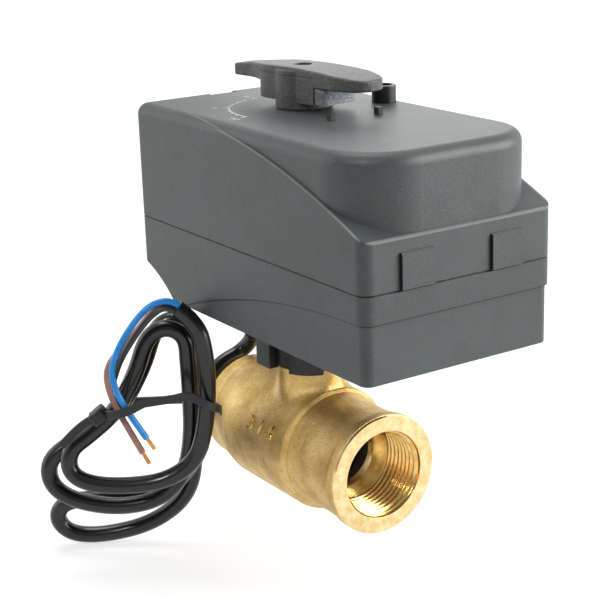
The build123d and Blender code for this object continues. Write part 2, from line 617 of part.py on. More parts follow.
save("gearbox_lower_plate", lower_plate)
save("gearbox_spacers", Compound([
    ring(x, y, LOWER_PLATE_Z + PLATE, UPPER_PLATE_Z, PILLAR_R, PILLAR_SCREW_R) for x, y in pillar_places
]))
save("gearbox_screws", Compound([
    disc(x, y, PILLAR_SCREW_BOTTOM, UPPER_TOP, PILLAR_SCREW_R) + disc(x, y, UPPER_TOP, UPPER_TOP + 1.6, 2.5)
    for x, y in pillar_places
]))

# Motor on the upper plate, with two ears
EAR_REACH_Y = HOUSING_WIDTH / 2 - EAR_CLEAR
MOTOR_SCREW_Y = EAR_REACH_Y - 2.4
motor = disc(MOTOR_X, MOTOR_Y, UPPER_TOP, UPPER_TOP + MOTOR_HEIGHT, MOTOR_R)
motor = fillet(motor.edges().group_by(Axis.Z)[-1], 1.2)
motor += block(MOTOR_X - 3.5, MOTOR_X + 3.5, MOTOR_Y - EAR_REACH_Y, MOTOR_Y + EAR_REACH_Y,
               UPPER_TOP, UPPER_TOP + EAR_THICK)
motor -= disc(*PINION, UPPER_TOP - 1, UPPER_TOP + 6, AXLE_R + FIT)
motor_places = [(MOTOR_X, MOTOR_Y - MOTOR_SCREW_Y), (MOTOR_X, MOTOR_Y + MOTOR_SCREW_Y)]
MOTOR_SCREW_R = 1.1
for x, y in motor_places:
    hole = disc(x, y, UPPER_PLATE_Z - 1, UPPER_TOP + EAR_THICK + 1, MOTOR_SCREW_R)
    motor -= hole
    upper_plate -= hole
save("motor", motor)
save("motor_screws", Compound([
    disc(x, y, UPPER_PLATE_Z, UPPER_TOP + EAR_THICK, MOTOR_SCREW_R)
    + disc(x, y, UPPER_TOP + EAR_THICK, UPPER_TOP + EAR_THICK + 1.3, 2.0)
    for x, y in motor_places
]))
save("gearbox_upper_plate", upper_plate)

# Output shaft: square foot, journal, and a flatted top for the lever
def flatted(radius, z0, z1):
    bar = disc(STEM_X, 0, z0, z1, radius)
    return bar - block(STEM_X + 0.8 * radius, STEM_X + 2 * radius, -radius, radius, z0 - 1, z1 + 1)


LEVER_SCREW_R = 1.25
LEVER_SCREW_BOTTOM = SHAFT_TOP - 7.0
shaft = disc(STEM_X, 0, COUPLING_TOP, GUIDE_BOTTOM - GAP, SHAFT_R)
shaft += at(STEM_X, 0, (SHAFT_SQUARE_BOTTOM + COUPLING_TOP) / 2) * Box(
    SHAFT_SQUARE, SHAFT_SQUARE, COUPLING_TOP - SHAFT_SQUARE_BOTTOM)
shaft += disc(STEM_X, 0, GUIDE_BOTTOM - GAP, HUB_BOTTOM, SHAFT_NECK_R)
shaft += flatted(SHAFT_NECK_R, HUB_BOTTOM, SHAFT_TOP)
shaft -= disc(STEM_X, 0, LEVER_SCREW_BOTTOM, SHAFT_TOP + 1, LEVER_SCREW_R)
save("output_shaft", shaft)

# Two switch cams: round discs with a flat that lets the switch go
for name, z, angle in (("cam_lower", CAM_LOW_Z, 180), ("cam_upper", CAM_LOW_Z + CAM_STEP, 90)):
    cam = disc(STEM_X, 0, z, z + CAM_HEIGHT, CAM_R) - disc(STEM_X, 0, z - 1, z + CAM_HEIGHT + 1, SHAFT_R)
    cut = at(STEM_X, 0, z + CAM_HEIGHT / 2) * Rot(0, 0, angle) * at(CAM_R + 3.6, 0) * Box(10, 20, 20)
    save(name, cam - cut)

# Electronics
BOARD_TOP = BOARD_Z + BOARD
BOARD_X = (HOUSING_REAR + REAR_MARGIN, BOARD_FRONT)
BOARD_Y = (HOUSING_RIGHT + BOARD_MARGIN + 1.0, HOUSING_LEFT - BOARD_MARGIN)
board_sketch = at(sum(BOARD_X) / 2, sum(BOARD_Y) / 2) * RectangleRounded(
    BOARD_X[1] - BOARD_X[0], BOARD_Y[1] - BOARD_Y[0], 2)
board = prism(board_sketch, BOARD_Z, BOARD_TOP)
board -= disc(STEM_X, 0, BOARD_Z - 1, BOARD_TOP + 1, SHAFT_R + 1.0)
board -= disc(BUTTON_X, BUTTON_Y, BOARD_Z - 1, BOARD_TOP + 1, SPRING_R + 2.2)
standoff_places = [
    (BOARD_X[0] + 11, -12.0), (BOARD_X[0] + 11, 10.0),
    (BOARD_FRONT - 4, BOARD_Y[0] + 3.5), (BOARD_FRONT - 4, 8.0),
]
standoffs = []
for x, y in standoff_places:
    board -= disc(x, y, BOARD_Z - 1, BOARD_TOP + 1, 1.2)
    standoffs.append(disc(x, y, UPPER_TOP, BOARD_Z, 2.5) + disc(x, y, BOARD_Z, BOARD_TOP + 0.8, 1.2))
save("circuit_board", board)
save("board_standoffs", Compound(standoffs))

SWITCH_FRONT = STEM_X - CAM_R - 2.2
switch_low = block(SWITCH_FRONT - 9, SWITCH_FRONT, -6.5, 6.5, BOARD_TOP, CAM_LOW_Z + CAM_HEIGHT + 0.5)
switch_high = block(SWITCH_FRONT - 9, SWITCH_FRONT, -6.5, 6.5, CAM_LOW_Z + CAM_HEIGHT + 0.7,
                    CAM_LOW_Z + CAM_STEP + CAM_HEIGHT + 0.5)
switches = []
for body, z in ((switch_low, CAM_LOW_Z), (switch_high, CAM_LOW_Z + CAM_STEP)):
    middle = z + CAM_HEIGHT / 2
    plunger = at(SWITCH_FRONT + 0.8, 0, middle) * Rot(0, 90, 0) * Cylinder(0.9, 2.0)
    switches.append(body + plunger)
save("limit_switches", Compound(switches))

TERMINAL_PITCH = 3.0
terminal_x, terminal_y = BOARD_X[0] + 4.5, BOARD_Y[0] + 9.3
terminals = block(terminal_x - 3.5, terminal_x + 3, terminal_y - 4.75, terminal_y + 4.75,
                  BOARD_TOP, BOARD_TOP + 8)
for i in (-1, 0, 1):
    terminals -= disc(terminal_x, terminal_y + i * TERMINAL_PITCH, BOARD_TOP + 6.5, BOARD_TOP + 9, 1.1)
save("terminal_block", terminals)
relay = block(STEM_X - 10, STEM_X + 4, BOARD_Y[0] + 3.5, BOARD_Y[0] + 14.5, BOARD_TOP, BOARD_TOP + 10)
capacitor = disc(STEM_X + 14, BOARD_Y[0] + 10.5, BOARD_TOP, BOARD_TOP + 12, 4)
save("board_components", Compound([relay, capacitor]))

# Release button
FOOT_Z = 72.0
button = disc(BUTTON_X, BUTTON_Y, HOUSING_TOP - 4.0, BUTTON_TOP, BUTTON_R)
button = fillet(button.edges().group_by(Axis.Z)[-1], 0.4)
button -= disc(BUTTON_X, BUTTON_Y, BUTTON_TOP - 1.5, BUTTON_TOP + 1, BUTTON_R - 1.0)
button += disc(BUTTON_X, BUTTON_Y, FOOT_Z, HOUSING_TOP - 4.0, ROD_R)
button += disc(BUTTON_X, BUTTON_Y, FOOT_Z, UPPER_PLATE_Z - 0.1, 3.2)
save("release_button", button)

SPRING_SEAT = UPPER_TOP + 8.0
save("button_guide", ring(BUTTON_X, BUTTON_Y, UPPER_TOP, SPRING_SEAT, 3.3, ROD_R + FIT))
SPRING_FROM = SPRING_SEAT + SPRING_WIRE / 2 + 0.05
SPRING_TO = HOUSING_TOP - 4.0 - SPRING_WIRE / 2 - 0.05
coil = Helix(pitch=(SPRING_TO - SPRING_FROM) / SPRING_TURNS, height=SPRING_TO - SPRING_FROM, radius=SPRING_R)
coil = at(BUTTON_X, BUTTON_Y, SPRING_FROM) * coil
spring = sweep(Plane(origin=coil @ 0, z_dir=coil % 0) * Circle(SPRING_WIRE / 2), path=coil, is_frenet=True)
save("button_spring", spring)

# Lever
lever_place = Location((STEM_X, 0, 0), (0, 0, LEVER_ANGLE))


def under_arch(radius):
    """All that lies under an arch along the lever, whose centre is the lever's own."""
    return at(0, 0, LEVER_TOP - LEVER_ARCH_R) * Rot(90, 0, 0) * Cylinder(radius, 40)


# Corners of one long side of the lever, each with its rounding
LEVER_CORNERS = (
    (-LEVER_TAIL, TAIL_HALF, 0.8), (-18.6, TAIL_HALF + 0.2, 12.0), (-9.8, NOSE_HALF - 0.6, 12.0),
    (20.5, NOSE_HALF + 0.1, 9.0), (LEVER_NOSE, NOSE_HALF - 2.6, 5.8),
)
sides = [(s, t) for s, t, _ in LEVER_CORNERS]
lever_sketch = make_face(Polyline(*sides, *[(s, -t) for s, t in reversed(sides)], close=True))
for s, t, rounding in LEVER_CORNERS:
    for corner_t in (t, -t):
        corner = min(lever_sketch.vertices(), key=lambda v: hypot(v.X - s, v.Y - corner_t))
        lever_sketch = fillet(corner, rounding)
PLATE_UNDER = LEVER_TOP - LEVER_THICK
plate = prism(lever_sketch, PLATE_UNDER, LEVER_TOP + 5) & under_arch(LEVER_ARCH_R)
plate = fillet(plate.faces().sort_by(Axis.Z)[-1].edges(), 0.7)
plate = fillet(plate.faces().sort_by(Axis.Z)[0].edges(), 0.5)
web_sketch = at((WEB_FRONT - WEB_BACK) / 2, 0) * Rectangle(WEB_FRONT + WEB_BACK, 3 * NOSE_HALF)
web = prism(web_sketch & lever_sketch, LEVER_UNDER, PLATE_UNDER + 1.5)
hub = disc(0, 0, HUB_BOTTOM, LEVER_TOP - 0.8, HUB_R)
hub = fillet(hub.edges().group_by(Axis.Z)[-1], 0.5)
lever = plate + web + hub
TONGUE = (7.5, 2.5, LEVER_UNDER + 1.4, LEVER_UNDER + 4.4)
lever -= block(TONGUE[0], WEB_FRONT + 1, -TONGUE[1], TONGUE[1], TONGUE[2], TONGUE[3])
RECESS_Z = LEVER_TOP - 1.8
lever -= disc(0, 0, RECESS_Z, LEVER_TOP + 1, 2.7)
lever -= disc(0, 0, SHAFT_TOP - 1, RECESS_Z + 1, LEVER_SCREW_R)
lever = lever_place * lever - flatted(SHAFT_NECK_R, HUB_BOTTOM - 1, SHAFT_TOP)
save("lever", lever)

insert_sketch = at((WEB_FRONT + INSERT_FRONT) / 2, 0) * Rectangle(INSERT_FRONT - WEB_FRONT, 2 * INSERT_HALF)
insert_sketch = fillet(insert_sketch.vertices().sort_by(Axis.X)[-2:], 2.2)
insert = prism(insert_sketch, LEVER_UNDER, PLATE_UNDER)
insert += block(TONGUE[0], WEB_FRONT + 1, -TONGUE[1], TONGUE[1], TONGUE[2], TONGUE[3])
save("lever_insert", lever_place * insert)
save("lever_screw", disc(STEM_X, 0, RECESS_Z, RECESS_Z + 1.2, 2.4)
     + disc(STEM_X, 0, LEVER_SCREW_BOTTOM, RECESS_Z, LEVER_SCREW_R))

# Lead, hank and tie
save("cable_gland", turned_z(GLAND_X, GLAND_Y, [
    (GLAND_BORE_R, GLAND_BOSS_BOTTOM - 2), (GLAND_R + 1.1, GLAND_BOSS_BOTTOM - 2),
    (GLAND_R + 1.6, GLAND_BOSS_BOTTOM - 1.5),
    (GLAND_R + 1.6, GLAND_BOSS_BOTTOM), (GLAND_R, GLAND_BOSS_BOTTOM), (GLAND_R, GLAND_BOSS_TOP),
    (GLAND_R + 1.3, GLAND_BOSS_TOP), (GLAND_R + 1.3, GLAND_BOSS_TOP + 2), (GLAND_BORE_R, GLAND_BOSS_TOP + 2),
]))

# The hank lies in an upright plane: a runs along it, w towards its front, z up
HANK_ORIGIN = Vector(-62, -35, 0)
ACROSS = Vector(0.5452, 0.8383, 0)
FRONT = Vector(0.8383, -0.5452, 0)


def hank_point(a, z, w):
    return HANK_ORIGIN + ACROSS * a + FRONT * w + Vector(0, 0, z)


def corner_radii(points):
    """The largest arcs that the runs of a route allow, one for each corner."""
    radii = []
    for before, corner, after in zip(points, points[1:], points[2:]):
        run_in, run_out = corner - before, after - corner
        turn = radians(run_in.get_angle(run_out))
        radii.append(0.45 * min(run_in.length, run_out.length) / tan(turn / 2))
    return radii


def route(points):
    return FilletPolyline(*points, radius=corner_radii(points))


def tube(path, diameter):
    return sweep(Plane(origin=path @ 0, z_dir=path % 0) * Circle(diameter / 2), path=path)


def report_route(name, points, path, solid, diameter):
    """Prints a route's length, tightest arc, least gap to itself, and volume over section times length."""
    samples, along = [], 0.0
    for edge in path.edges():
        steps = max(2, int(edge.length / 0.8))
        samples += [(along + edge.length * i / steps, edge @ (i / steps)) for i in range(steps)]
        along += edge.length
    apart = 2.2 * diameter
    least = min(
        ((p - q).length for i, (s, p) in enumerate(samples) for t, q in samples[i + 1:] if t - s > apart),
        default=99.0)
    section = pi * diameter ** 2 / 4
    print(f"{name}: length {path.length:.1f}, tightest arc {min(corner_radii(points)):.1f}, "
          f"least gap to itself {least - diameter:.2f}, volume ratio {solid.volume / (section * path.length):.4f}")


lead_points = [Vector(*p) for p in (
    (GLAND_X, GLAND_Y, 59.5), (GLAND_X, GLAND_Y, 36.0), (-72.5, 3.2, 25.5), (-77.9, 1.5, 17.2),
    (-78.3, -9.0, 14.3), (-77.2, -17.6, 5.0), (-71.0, -23.8, -1.0),
)]
DROP_TOP, DROP_FOOT = hank_point(6.2, -7.0, -6.9), hank_point(3.6, -20.8, -5.0)
HANK_START = (DROP_TOP + DROP_FOOT) / 2
lead_points += [DROP_TOP, HANK_START]
lead_path = route(lead_points)
lead = tube(lead_path, CABLE_D)
report_route("lead", lead_points, lead_path, lead, CABLE_D)
save("cable_lead", lead)

HANK_STATIONS = (
    # Round the lowest bend and back
    (-8.0, -30.2, -5.0), (-23.5, -34.0, -5.0), (-35.0, -33.2, -4.6),
    (-39.4, -26.8, -3.8), (-35.4, -20.4, -2.4), (-21.5, -18.9, 0.6), (-5.2, -17.2, 1.5), (4.9, -10.0, 1.5),
    # First loop: up, over the top, down the left limb and round the left bend
    (8.0, 4.0, 1.5), (8.3, 16.0, 1.5), (8.2, 27.5, 1.5), (8.2, 36.6, 1.5), (2.2, 40.1, 1.6), (-3.8, 36.6, 1.7),
    (-7.4, 25.5, 2.1), (-14.2, 13.2, 2.9), (-24.4, 4.8, 4.2), (-33.2, 0.9, 5.4), (-38.6, -4.2, 6.4),
    (-37.6, -11.6, 7.2),
    # Second loop
    (-30.4, -16.4, 7.8), (-17.1, -18.9, 8.0), (-4.0, -16.4, 8.0), (3.9, -7.6, 8.0), (6.2, 4.0, 8.0),
    (6.5, 15.6, 8.0), (6.3, 27.2, 8.0), (6.2, 36.0, 8.0), (0.2, 39.5, 8.2), (-5.8, 36.0, 8.4),
    (-9.4, 25.0, 9.2), (-16.2, 13.2, 10.4), (-24.2, 6.9, 11.9), (-30.6, 2.6, 13.1), (-30.8, -4.6, 13.9),
    # Front limb, up to the end of the jacket
    (-24.2, -8.2, 14.5), (-13.0, -9.0, 14.5), (-1.4, -7.6, 14.5), (7.8, -1.4, 14.5), (11.0, 9.6, 14.5),
    (12.3, 21.5, 14.5), (12.0, 33.0, 14.5), (10.0, 42.0, 14.5), (4.4, 46.6, 14.5),
)
hank_points = [HANK_START, DROP_FOOT] + [hank_point(*station) for station in HANK_STATIONS]
hank_path = route(hank_points)
hank = tube(hank_path, CABLE_D)
report_route("hank", hank_points, hank_path, hank, CABLE_D)
save("cable_hank", hank)

# Three wires leave the jacket's end side by side, each with a bare tip
JACKET_END = hank_points[-1]
end_way = (hank_points[-1] - hank_points[-2]).normalized()
end_side = end_way.cross(FRONT).normalized()
WIRE_STATIONS = {
    "blue": (90, 3.0, (
        (-2.6, 47.8, 16.4), (-7.0, 43.4, 17.6), (-11.6, 37.0, 18.8), (-15.6, 30.0, 18.8), (-14.6, 23.0, 18.8),
        (-10.6, 15.0, 18.8), (-6.3, 8.0, 18.8))),
    "brown": (330, 3.6, (
        (-2.2, 48.4, 13.5), (-6.8, 42.4, 13.7), (-12.2, 35.6, 14.2), (-17.4, 28.6, 14.4), (-15.9, 20.2, 14.4),
        (-12.2, 11.0, 14.4), (-8.4, 2.8, 14.4))),
    "black": (210, 3.0, (
        (-2.8, 45.4, 15.6), (-7.0, 40.6, 16.0), (-11.8, 33.6, 16.6), (-13.3, 26.8, 16.6), (-10.6, 20.8, 16.6))),
}
tips = []
for name, (angle, straight, stations) in WIRE_STATIONS.items():
    offset = FRONT * (1.25 * sin(radians(angle))) + end_side * (1.25 * cos(radians(angle)))
    start = JACKET_END + offset
    points = [start, start + end_way * straight] + [hank_point(*station) for station in stations]
    path = route(points)
    wire = tube(path, WIRE_D)
    report_route(f"wire {name}", points, path, wire, WIRE_D)
    save(f"wire_{name}", wire)
    tip_way = (points[-1] - points[-2]).normalized()
    tips.append(Plane(origin=points[-1] + tip_way * 2.0, z_dir=tip_way) * Cylinder(STRAND_D / 2, 4.0))
save("wire_tips", Compound(tips))

# Cable tie: a flat band round the hank's waist, its head and the tail that was pulled through
TIE_Z = 17.0
TIE_WIDTH = 2.5
TIE_THICK = 1.0
TIE_A = (-18.4, 15.0)
TIE_W = (-1.9, 20.3)
hank_plane = Plane(origin=hank_point(0, 0, 0), x_dir=ACROSS, z_dir=(0, 0, 1))
tie_centre = (sum(TIE_A) / 2, -sum(TIE_W) / 2)
tie_length, tie_depth = TIE_A[1] - TIE_A[0], TIE_W[1] - TIE_W[0]
band = Pos(*tie_centre) * (
    RectangleRounded(tie_length + 2 * TIE_THICK, tie_depth + 2 * TIE_THICK, 5 + TIE_THICK)
    - RectangleRounded(tie_length, tie_depth, 5))
tie = hank_plane * Pos(0, 0, TIE_Z - TIE_WIDTH / 2) * extrude(band, amount=TIE_WIDTH)
head_a, head_w = TIE_A[0] - TIE_THICK - 1.9, 15.2
tie += hank_plane * Pos(head_a, -head_w, TIE_Z) * Box(4.6, 5.6, 4.6)
tail_from, tail_to = (head_a - 1.2, TIE_Z - 0.6), (-32.6, 7.8)
tail_way = Vector(tail_to[0] - tail_from[0], tail_to[1] - tail_from[1])
tail = Pos((tail_from[0] + tail_to[0]) / 2, -head_w, (tail_from[1] + tail_to[1]) / 2)
tail *= Rot(0, -degrees(atan2(tail_way.Y, tail_way.X)), 0)
tie += hank_plane * tail * Box(tail_way.length, TIE_WIDTH, TIE_THICK)
save("cable_tie", tie)
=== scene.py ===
from math import cos, pi, radians, sin

import bmesh
import bpy
import numpy as np
from mathutils import Matrix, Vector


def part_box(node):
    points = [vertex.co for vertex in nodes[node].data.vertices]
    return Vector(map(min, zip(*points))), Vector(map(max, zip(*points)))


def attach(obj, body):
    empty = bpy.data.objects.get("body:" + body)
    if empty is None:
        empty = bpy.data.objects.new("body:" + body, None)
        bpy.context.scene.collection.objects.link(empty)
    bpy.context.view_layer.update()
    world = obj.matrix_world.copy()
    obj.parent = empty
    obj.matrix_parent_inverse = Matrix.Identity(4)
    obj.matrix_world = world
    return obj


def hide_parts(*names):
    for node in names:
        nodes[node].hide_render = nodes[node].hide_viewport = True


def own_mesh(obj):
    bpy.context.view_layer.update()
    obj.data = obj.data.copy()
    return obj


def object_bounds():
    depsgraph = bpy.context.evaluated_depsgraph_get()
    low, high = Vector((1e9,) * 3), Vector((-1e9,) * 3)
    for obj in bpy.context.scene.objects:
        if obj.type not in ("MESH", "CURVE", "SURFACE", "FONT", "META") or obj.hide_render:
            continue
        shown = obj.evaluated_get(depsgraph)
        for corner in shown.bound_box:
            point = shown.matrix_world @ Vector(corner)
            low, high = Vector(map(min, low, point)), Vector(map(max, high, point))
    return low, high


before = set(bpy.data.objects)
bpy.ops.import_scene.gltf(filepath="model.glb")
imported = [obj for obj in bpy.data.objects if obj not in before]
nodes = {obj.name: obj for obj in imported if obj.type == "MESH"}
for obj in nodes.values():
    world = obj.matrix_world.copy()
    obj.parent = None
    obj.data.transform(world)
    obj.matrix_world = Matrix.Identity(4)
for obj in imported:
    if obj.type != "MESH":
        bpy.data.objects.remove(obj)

cad_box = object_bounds()

# Camera: a long lens from front right and a little above, as the valve was photographed.
# Its azimuth looks along +Y at 0, and its roll is a slight lean of the hand.
CAMERA_EYE = (0.33289, -0.24344, 0.17835)
AZIMUTH, ELEVATION, ROLL = radians(56.98), radians(16.86), radians(-1.88)
LENS_MM, SENSOR_MM = 92.51, 36.0
CLIP_NEAR, CLIP_FAR = 0.01, 20.0


def placed(side, rise, back, place):
    """The matrix of a camera or lamp: the directions of its local X, Y and Z, and its place."""
    matrix = np.eye(4)
    matrix[:3] = np.stack([side, rise, back, place], 1)
    return Matrix(matrix.tolist())


backwards = np.array((sin(AZIMUTH) * cos(ELEVATION), -cos(AZIMUTH) * cos(ELEVATION), sin(ELEVATION)))
level = np.array((cos(AZIMUTH), sin(AZIMUTH), 0.0))
raised = np.cross(backwards, level)
camera = bpy.data.objects.new("camera", bpy.data.cameras.new("camera"))
camera.data.lens, camera.data.sensor_width = LENS_MM, SENSOR_MM
camera.data.clip_start, camera.data.clip_end = CLIP_NEAR, CLIP_FAR
camera.matrix_world = placed(cos(ROLL) * level + sin(ROLL) * raised, cos(ROLL) * raised - sin(ROLL) * level,
                             backwards, CAMERA_EYE)
bpy.context.scene.collection.objects.link(camera)
bpy.context.scene.camera = camera
bpy.context.scene.view_settings.view_transform = "Standard"

# Lead: one length of round three-core cable in a satin black PVC jacket.
# It drops from the housing's gland, goes behind the valve and is wound into a tied hank.
MM = 0.001
CABLE_D = 5.2
HANK_ORIGIN = np.array((-62.0, -35.0, 0.0))
ACROSS = np.array((0.5452, 0.8383, 0.0))
FRONT = np.array((0.8383, -0.5452, 0.0))
UP = np.array((0.0, 0.0, 1.0))
SPLINE_STEPS, ROUND_STEPS = 8, 6
# The colour sockets of a Mix node, whose names are also those of its other kinds
MIX_A, MIX_B, MIX_COLOUR = 6, 7, 2
# The noise values between which a spot goes from one tone to the other
SPOT_FROM, SPOT_TO = 0.35, 0.65


def srgb(code):
    """Linear RGBA of an sRGB hex colour: each channel c becomes ((c + 0.055) / 1.055) to the power 2.4."""
    channels = np.array([int(code[i:i + 2], 16) for i in (1, 3, 5)]) / 255
    return (*((channels + 0.055) / 1.055) ** 2.4, 1.0)


def add(tree, kind, inputs=None, **settings):
    """Adds one node: settings are its properties, and an input is either a socket to link or a value."""
    made = tree.nodes.new("ShaderNode" + kind)
    for name, value in settings.items():
        setattr(made, name, value)
    for name, value in (inputs or {}).items():
        if isinstance(value, bpy.types.NodeSocket):
            tree.links.new(value, made.inputs[name])
        else:
            made.inputs[name].default_value = value
    return made


def blank_finish(name):
    """A new material, its node tree and its shader."""
    material = bpy.data.materials.new(name)
    material.use_nodes = True
    return material, material.node_tree, material.node_tree.nodes["Principled BSDF"]


def finish_of(name, colours, spot_mm, grains, **sockets):
    """A material whose colour wanders between two tones in spots of spot_mm, under bumps of noise.

    Each grain is (size in mm, height in mm, detail). Sockets are constant values of the shader.
    """
    material, tree, shader = blank_finish(name)
    for socket, value in sockets.items():
        shader.inputs[socket.replace("_", " ")].default_value = value
    place = add(tree, "TexCoord").outputs["Object"]
    spots = add(tree, "TexNoise", {"Vector": place, "Scale": 1 / (spot_mm * MM), "Detail": 4.0})
    spread = add(tree, "MapRange", {"Value": spots.outputs["Fac"], "From Min": SPOT_FROM,
                                    "From Max": SPOT_TO})
    tone = add(tree, "Mix", {"Factor": spread.outputs[0], MIX_A: srgb(colours[0]), MIX_B: srgb(colours[1])},
               data_type="RGBA")
    tree.links.new(tone.outputs[MIX_COLOUR], shader.inputs["Base Color"])
    normal = None
    for size, height, detail in grains:
        lumps = add(tree, "TexNoise", {"Vector": place, "Scale": 1 / (size * MM), "Detail": detail})
        bump = add(tree, "Bump", {"Height": lumps.outputs["Fac"], "Distance": height * MM})
        if normal:
            tree.links.new(normal, bump.inputs["Normal"])
        normal = bump.outputs["Normal"]
    if normal:
        tree.links.new(normal, shader.inputs["Normal"])
    return material


def on_hank(a, z, w):
    """A point of the hank in mm: its origin plus a along it, w towards its front, and z up."""
    return HANK_ORIGIN + ACROSS * a + FRONT * w + UP * z


def cord_curve(name, points, diameter, material):
    """A round cord along one open NURBS spline whose control points are the route's own points."""
    curve = bpy.data.curves.new(name, "CURVE")
    curve.dimensions = "3D"
    spline = curve.splines.new("NURBS")
    spline.points.add(len(points) - 1)
    spline.points.foreach_set("co", np.c_[np.array(points) * MM, np.ones(len(points))].ravel())
    spline.order_u = 3
    spline.use_endpoint_u = True
    curve.resolution_u = SPLINE_STEPS
    curve.bevel_depth = diameter / 2 * MM
    curve.bevel_resolution = ROUND_STEPS
    curve.use_fill_caps = True
    curve.materials.append(material)
    made = bpy.data.objects.new(name, curve)
    bpy.context.scene.collection.objects.link(made)
    return made


# Extruded PVC: a soft satin sheen, with a faint ripple from the cores inside
jacket_pvc = finish_of("extruded_black_pvc", ("#0B0C0D", "#121315"), 9.0,
                       ((3.0, 0.05, 1.0), (0.35, 0.006, 2.0)), Roughness=0.24)
cable_points = [np.array(p) for p in (
    (-66.0, 3.0, 59.5), (-66.0, 3.0, 36.0), (-72.5, 3.2, 25.5), (-77.9, 1.5, 17.2),
    (-78.3, -9.0, 14.3), (-77.2, -17.6, 5.0), (-71.0, -23.8, -1.0))]
cable_points += [on_hank(*station) for station in (
    # Down to the lowest bend and back
    (6.2, -7.0, -6.9), (3.6, -20.8, -5.0), (-8.0, -30.2, -5.0), (-23.5, -34.0, -5.0),
    (-35.0, -33.2, -4.6), (-39.4, -26.8, -3.8), (-35.4, -20.4, -2.4), (-21.5, -18.9, 0.6),
    (-5.2, -17.2, 1.5), (4.9, -10.0, 1.5),
    # First loop: up, over the top, down the left limb and round the left bend
    (8.0, 4.0, 1.5), (8.3, 16.0, 1.5), (8.2, 27.5, 1.5), (8.2, 36.6, 1.5), (2.2, 40.1, 1.6),
    (-3.8, 36.6, 1.7), (-7.4, 25.5, 2.1), (-14.2, 13.2, 2.9), (-24.4, 4.8, 4.2), (-33.2, 0.9, 5.4),
    (-38.6, -4.2, 6.4), (-37.6, -11.6, 7.2),
    # Second loop
    (-30.4, -16.4, 7.8), (-17.1, -18.9, 8.0), (-4.0, -16.4, 8.0), (3.9, -7.6, 8.0), (6.2, 4.0, 8.0),
    (6.5, 15.6, 8.0), (6.3, 27.2, 8.0), (6.2, 36.0, 8.0), (0.2, 39.5, 8.2), (-5.8, 36.0, 8.4),
    (-9.4, 25.0, 9.2), (-16.2, 13.2, 10.4), (-24.2, 6.9, 11.9), (-30.6, 2.6, 13.1), (-30.8, -4.6, 13.9),
    # Front limb, up to the end of the jacket
    (-24.2, -8.2, 14.5), (-13.0, -9.0, 14.5), (-1.4, -7.6, 14.5), (7.8, -1.4, 14.5), (11.0, 9.6, 14.5),
    (12.3, 21.5, 14.5), (12.0, 33.0, 14.5), (10.0, 42.0, 14.5), (4.4, 46.6, 14.5))]
cable = cord_curve("cable", cable_points, CABLE_D, jacket_pvc)
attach(cable, "housing")
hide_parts("cable_lead", "cable_hank")

# Wires: three stranded cores with thin PVC insulation, in the colours of mains wiring.
# They leave the jacket's cut end side by side and curl down beside the hank.
WIRE_D = 1.9
CORE_CIRCLE_R = 1.25
JACKET_END = cable_points[-1]
end_way = cable_points[-1] - cable_points[-2]
end_way /= np.linalg.norm(end_way)
end_side = np.cross(end_way, FRONT)
# Each core: its place round the jacket's axis in degrees, its straight start, its tones and its stations
WIRES = {
    "blue": (20, 3.0, ("#0A92F0", "#22A4FA"), (
        (-2.6, 48.9, 16.2), (-7.4, 44.6, 17.2), (-12.4, 37.6, 18.6), (-15.6, 30.0, 18.8),
        (-14.6, 23.0, 18.8), (-10.6, 15.0, 18.8), (-6.3, 8.0, 18.8))),
    "brown": (260, 3.6, ("#AC7868", "#BE8C7C"), (
        (-2.4, 46.4, 13.3), (-7.0, 40.6, 12.2), (-12.6, 34.4, 11.8), (-18.2, 28.0, 13.0),
        (-16.6, 19.4, 14.8), (-12.2, 11.0, 16.4), (-8.0, 2.8, 17.0))),
    "black": (140, 3.0, ("#2A2C2E", "#37393B"), (
        (-2.8, 45.4, 15.6), (-7.0, 40.6, 15.6), (-11.8, 33.6, 14.6), (-14.8, 27.4, 12.0),
        (-16.6, 21.6, 9.6))),
}
wire_ends = []
for colour, (angle, straight, tones, stations) in WIRES.items():
    start = JACKET_END + CORE_CIRCLE_R * (FRONT * sin(radians(angle)) + end_side * cos(radians(angle)))
    points = [start, start + end_way * straight] + [on_hank(*station) for station in stations]
    insulation = finish_of(f"extruded_{colour}_pvc", tones, 4.0, ((0.8, 0.01, 2.0),), Roughness=0.32)
    wire = cord_curve(f"wire_{colour}_insulation", points, WIRE_D, insulation)
    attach(wire, "housing")
    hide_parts(f"wire_{colour}")
    way = points[-1] - points[-2]
    wire_ends.append((points[-1], way / np.linalg.norm(way)))

# Bare ends: the last 4 mm of each core, stripped to its fine copper strands.
# Six strands are twisted round a middle one and cut straight.
TIP_LENGTH, TIP_INSIDE = 4.0, 0.6
STRAND_R = 0.2
OUTER_STRANDS, LAY_LENGTH = 6, 9.0
TIP_RINGS, STRAND_SIDES = 14, 10
DOUBLES_APART = 1e-7


def grid_faces(rows, columns, close_rows):
    """Quads between neighbouring rows of a grid whose columns close on themselves."""
    i, j = np.meshgrid(np.arange(rows if close_rows else rows - 1), np.arange(columns), indexing="ij")
    i, j = i.ravel(), j.ravel()
    down, right = (i + 1) % rows, (j + 1) % columns
    quads = [i * columns + j, i * columns + right, down * columns + right, down * columns + j]
    return np.stack(quads, 1).tolist()


def turn_outwards(mesh):
    """Merges a mesh's doubled points and turns its faces outwards."""
    work = bmesh.new()
    work.from_mesh(mesh)
    bmesh.ops.remove_doubles(work, verts=work.verts, dist=DOUBLES_APART)
    bmesh.ops.recalc_face_normals(work, faces=work.faces)
    work.to_mesh(mesh)
    work.free()


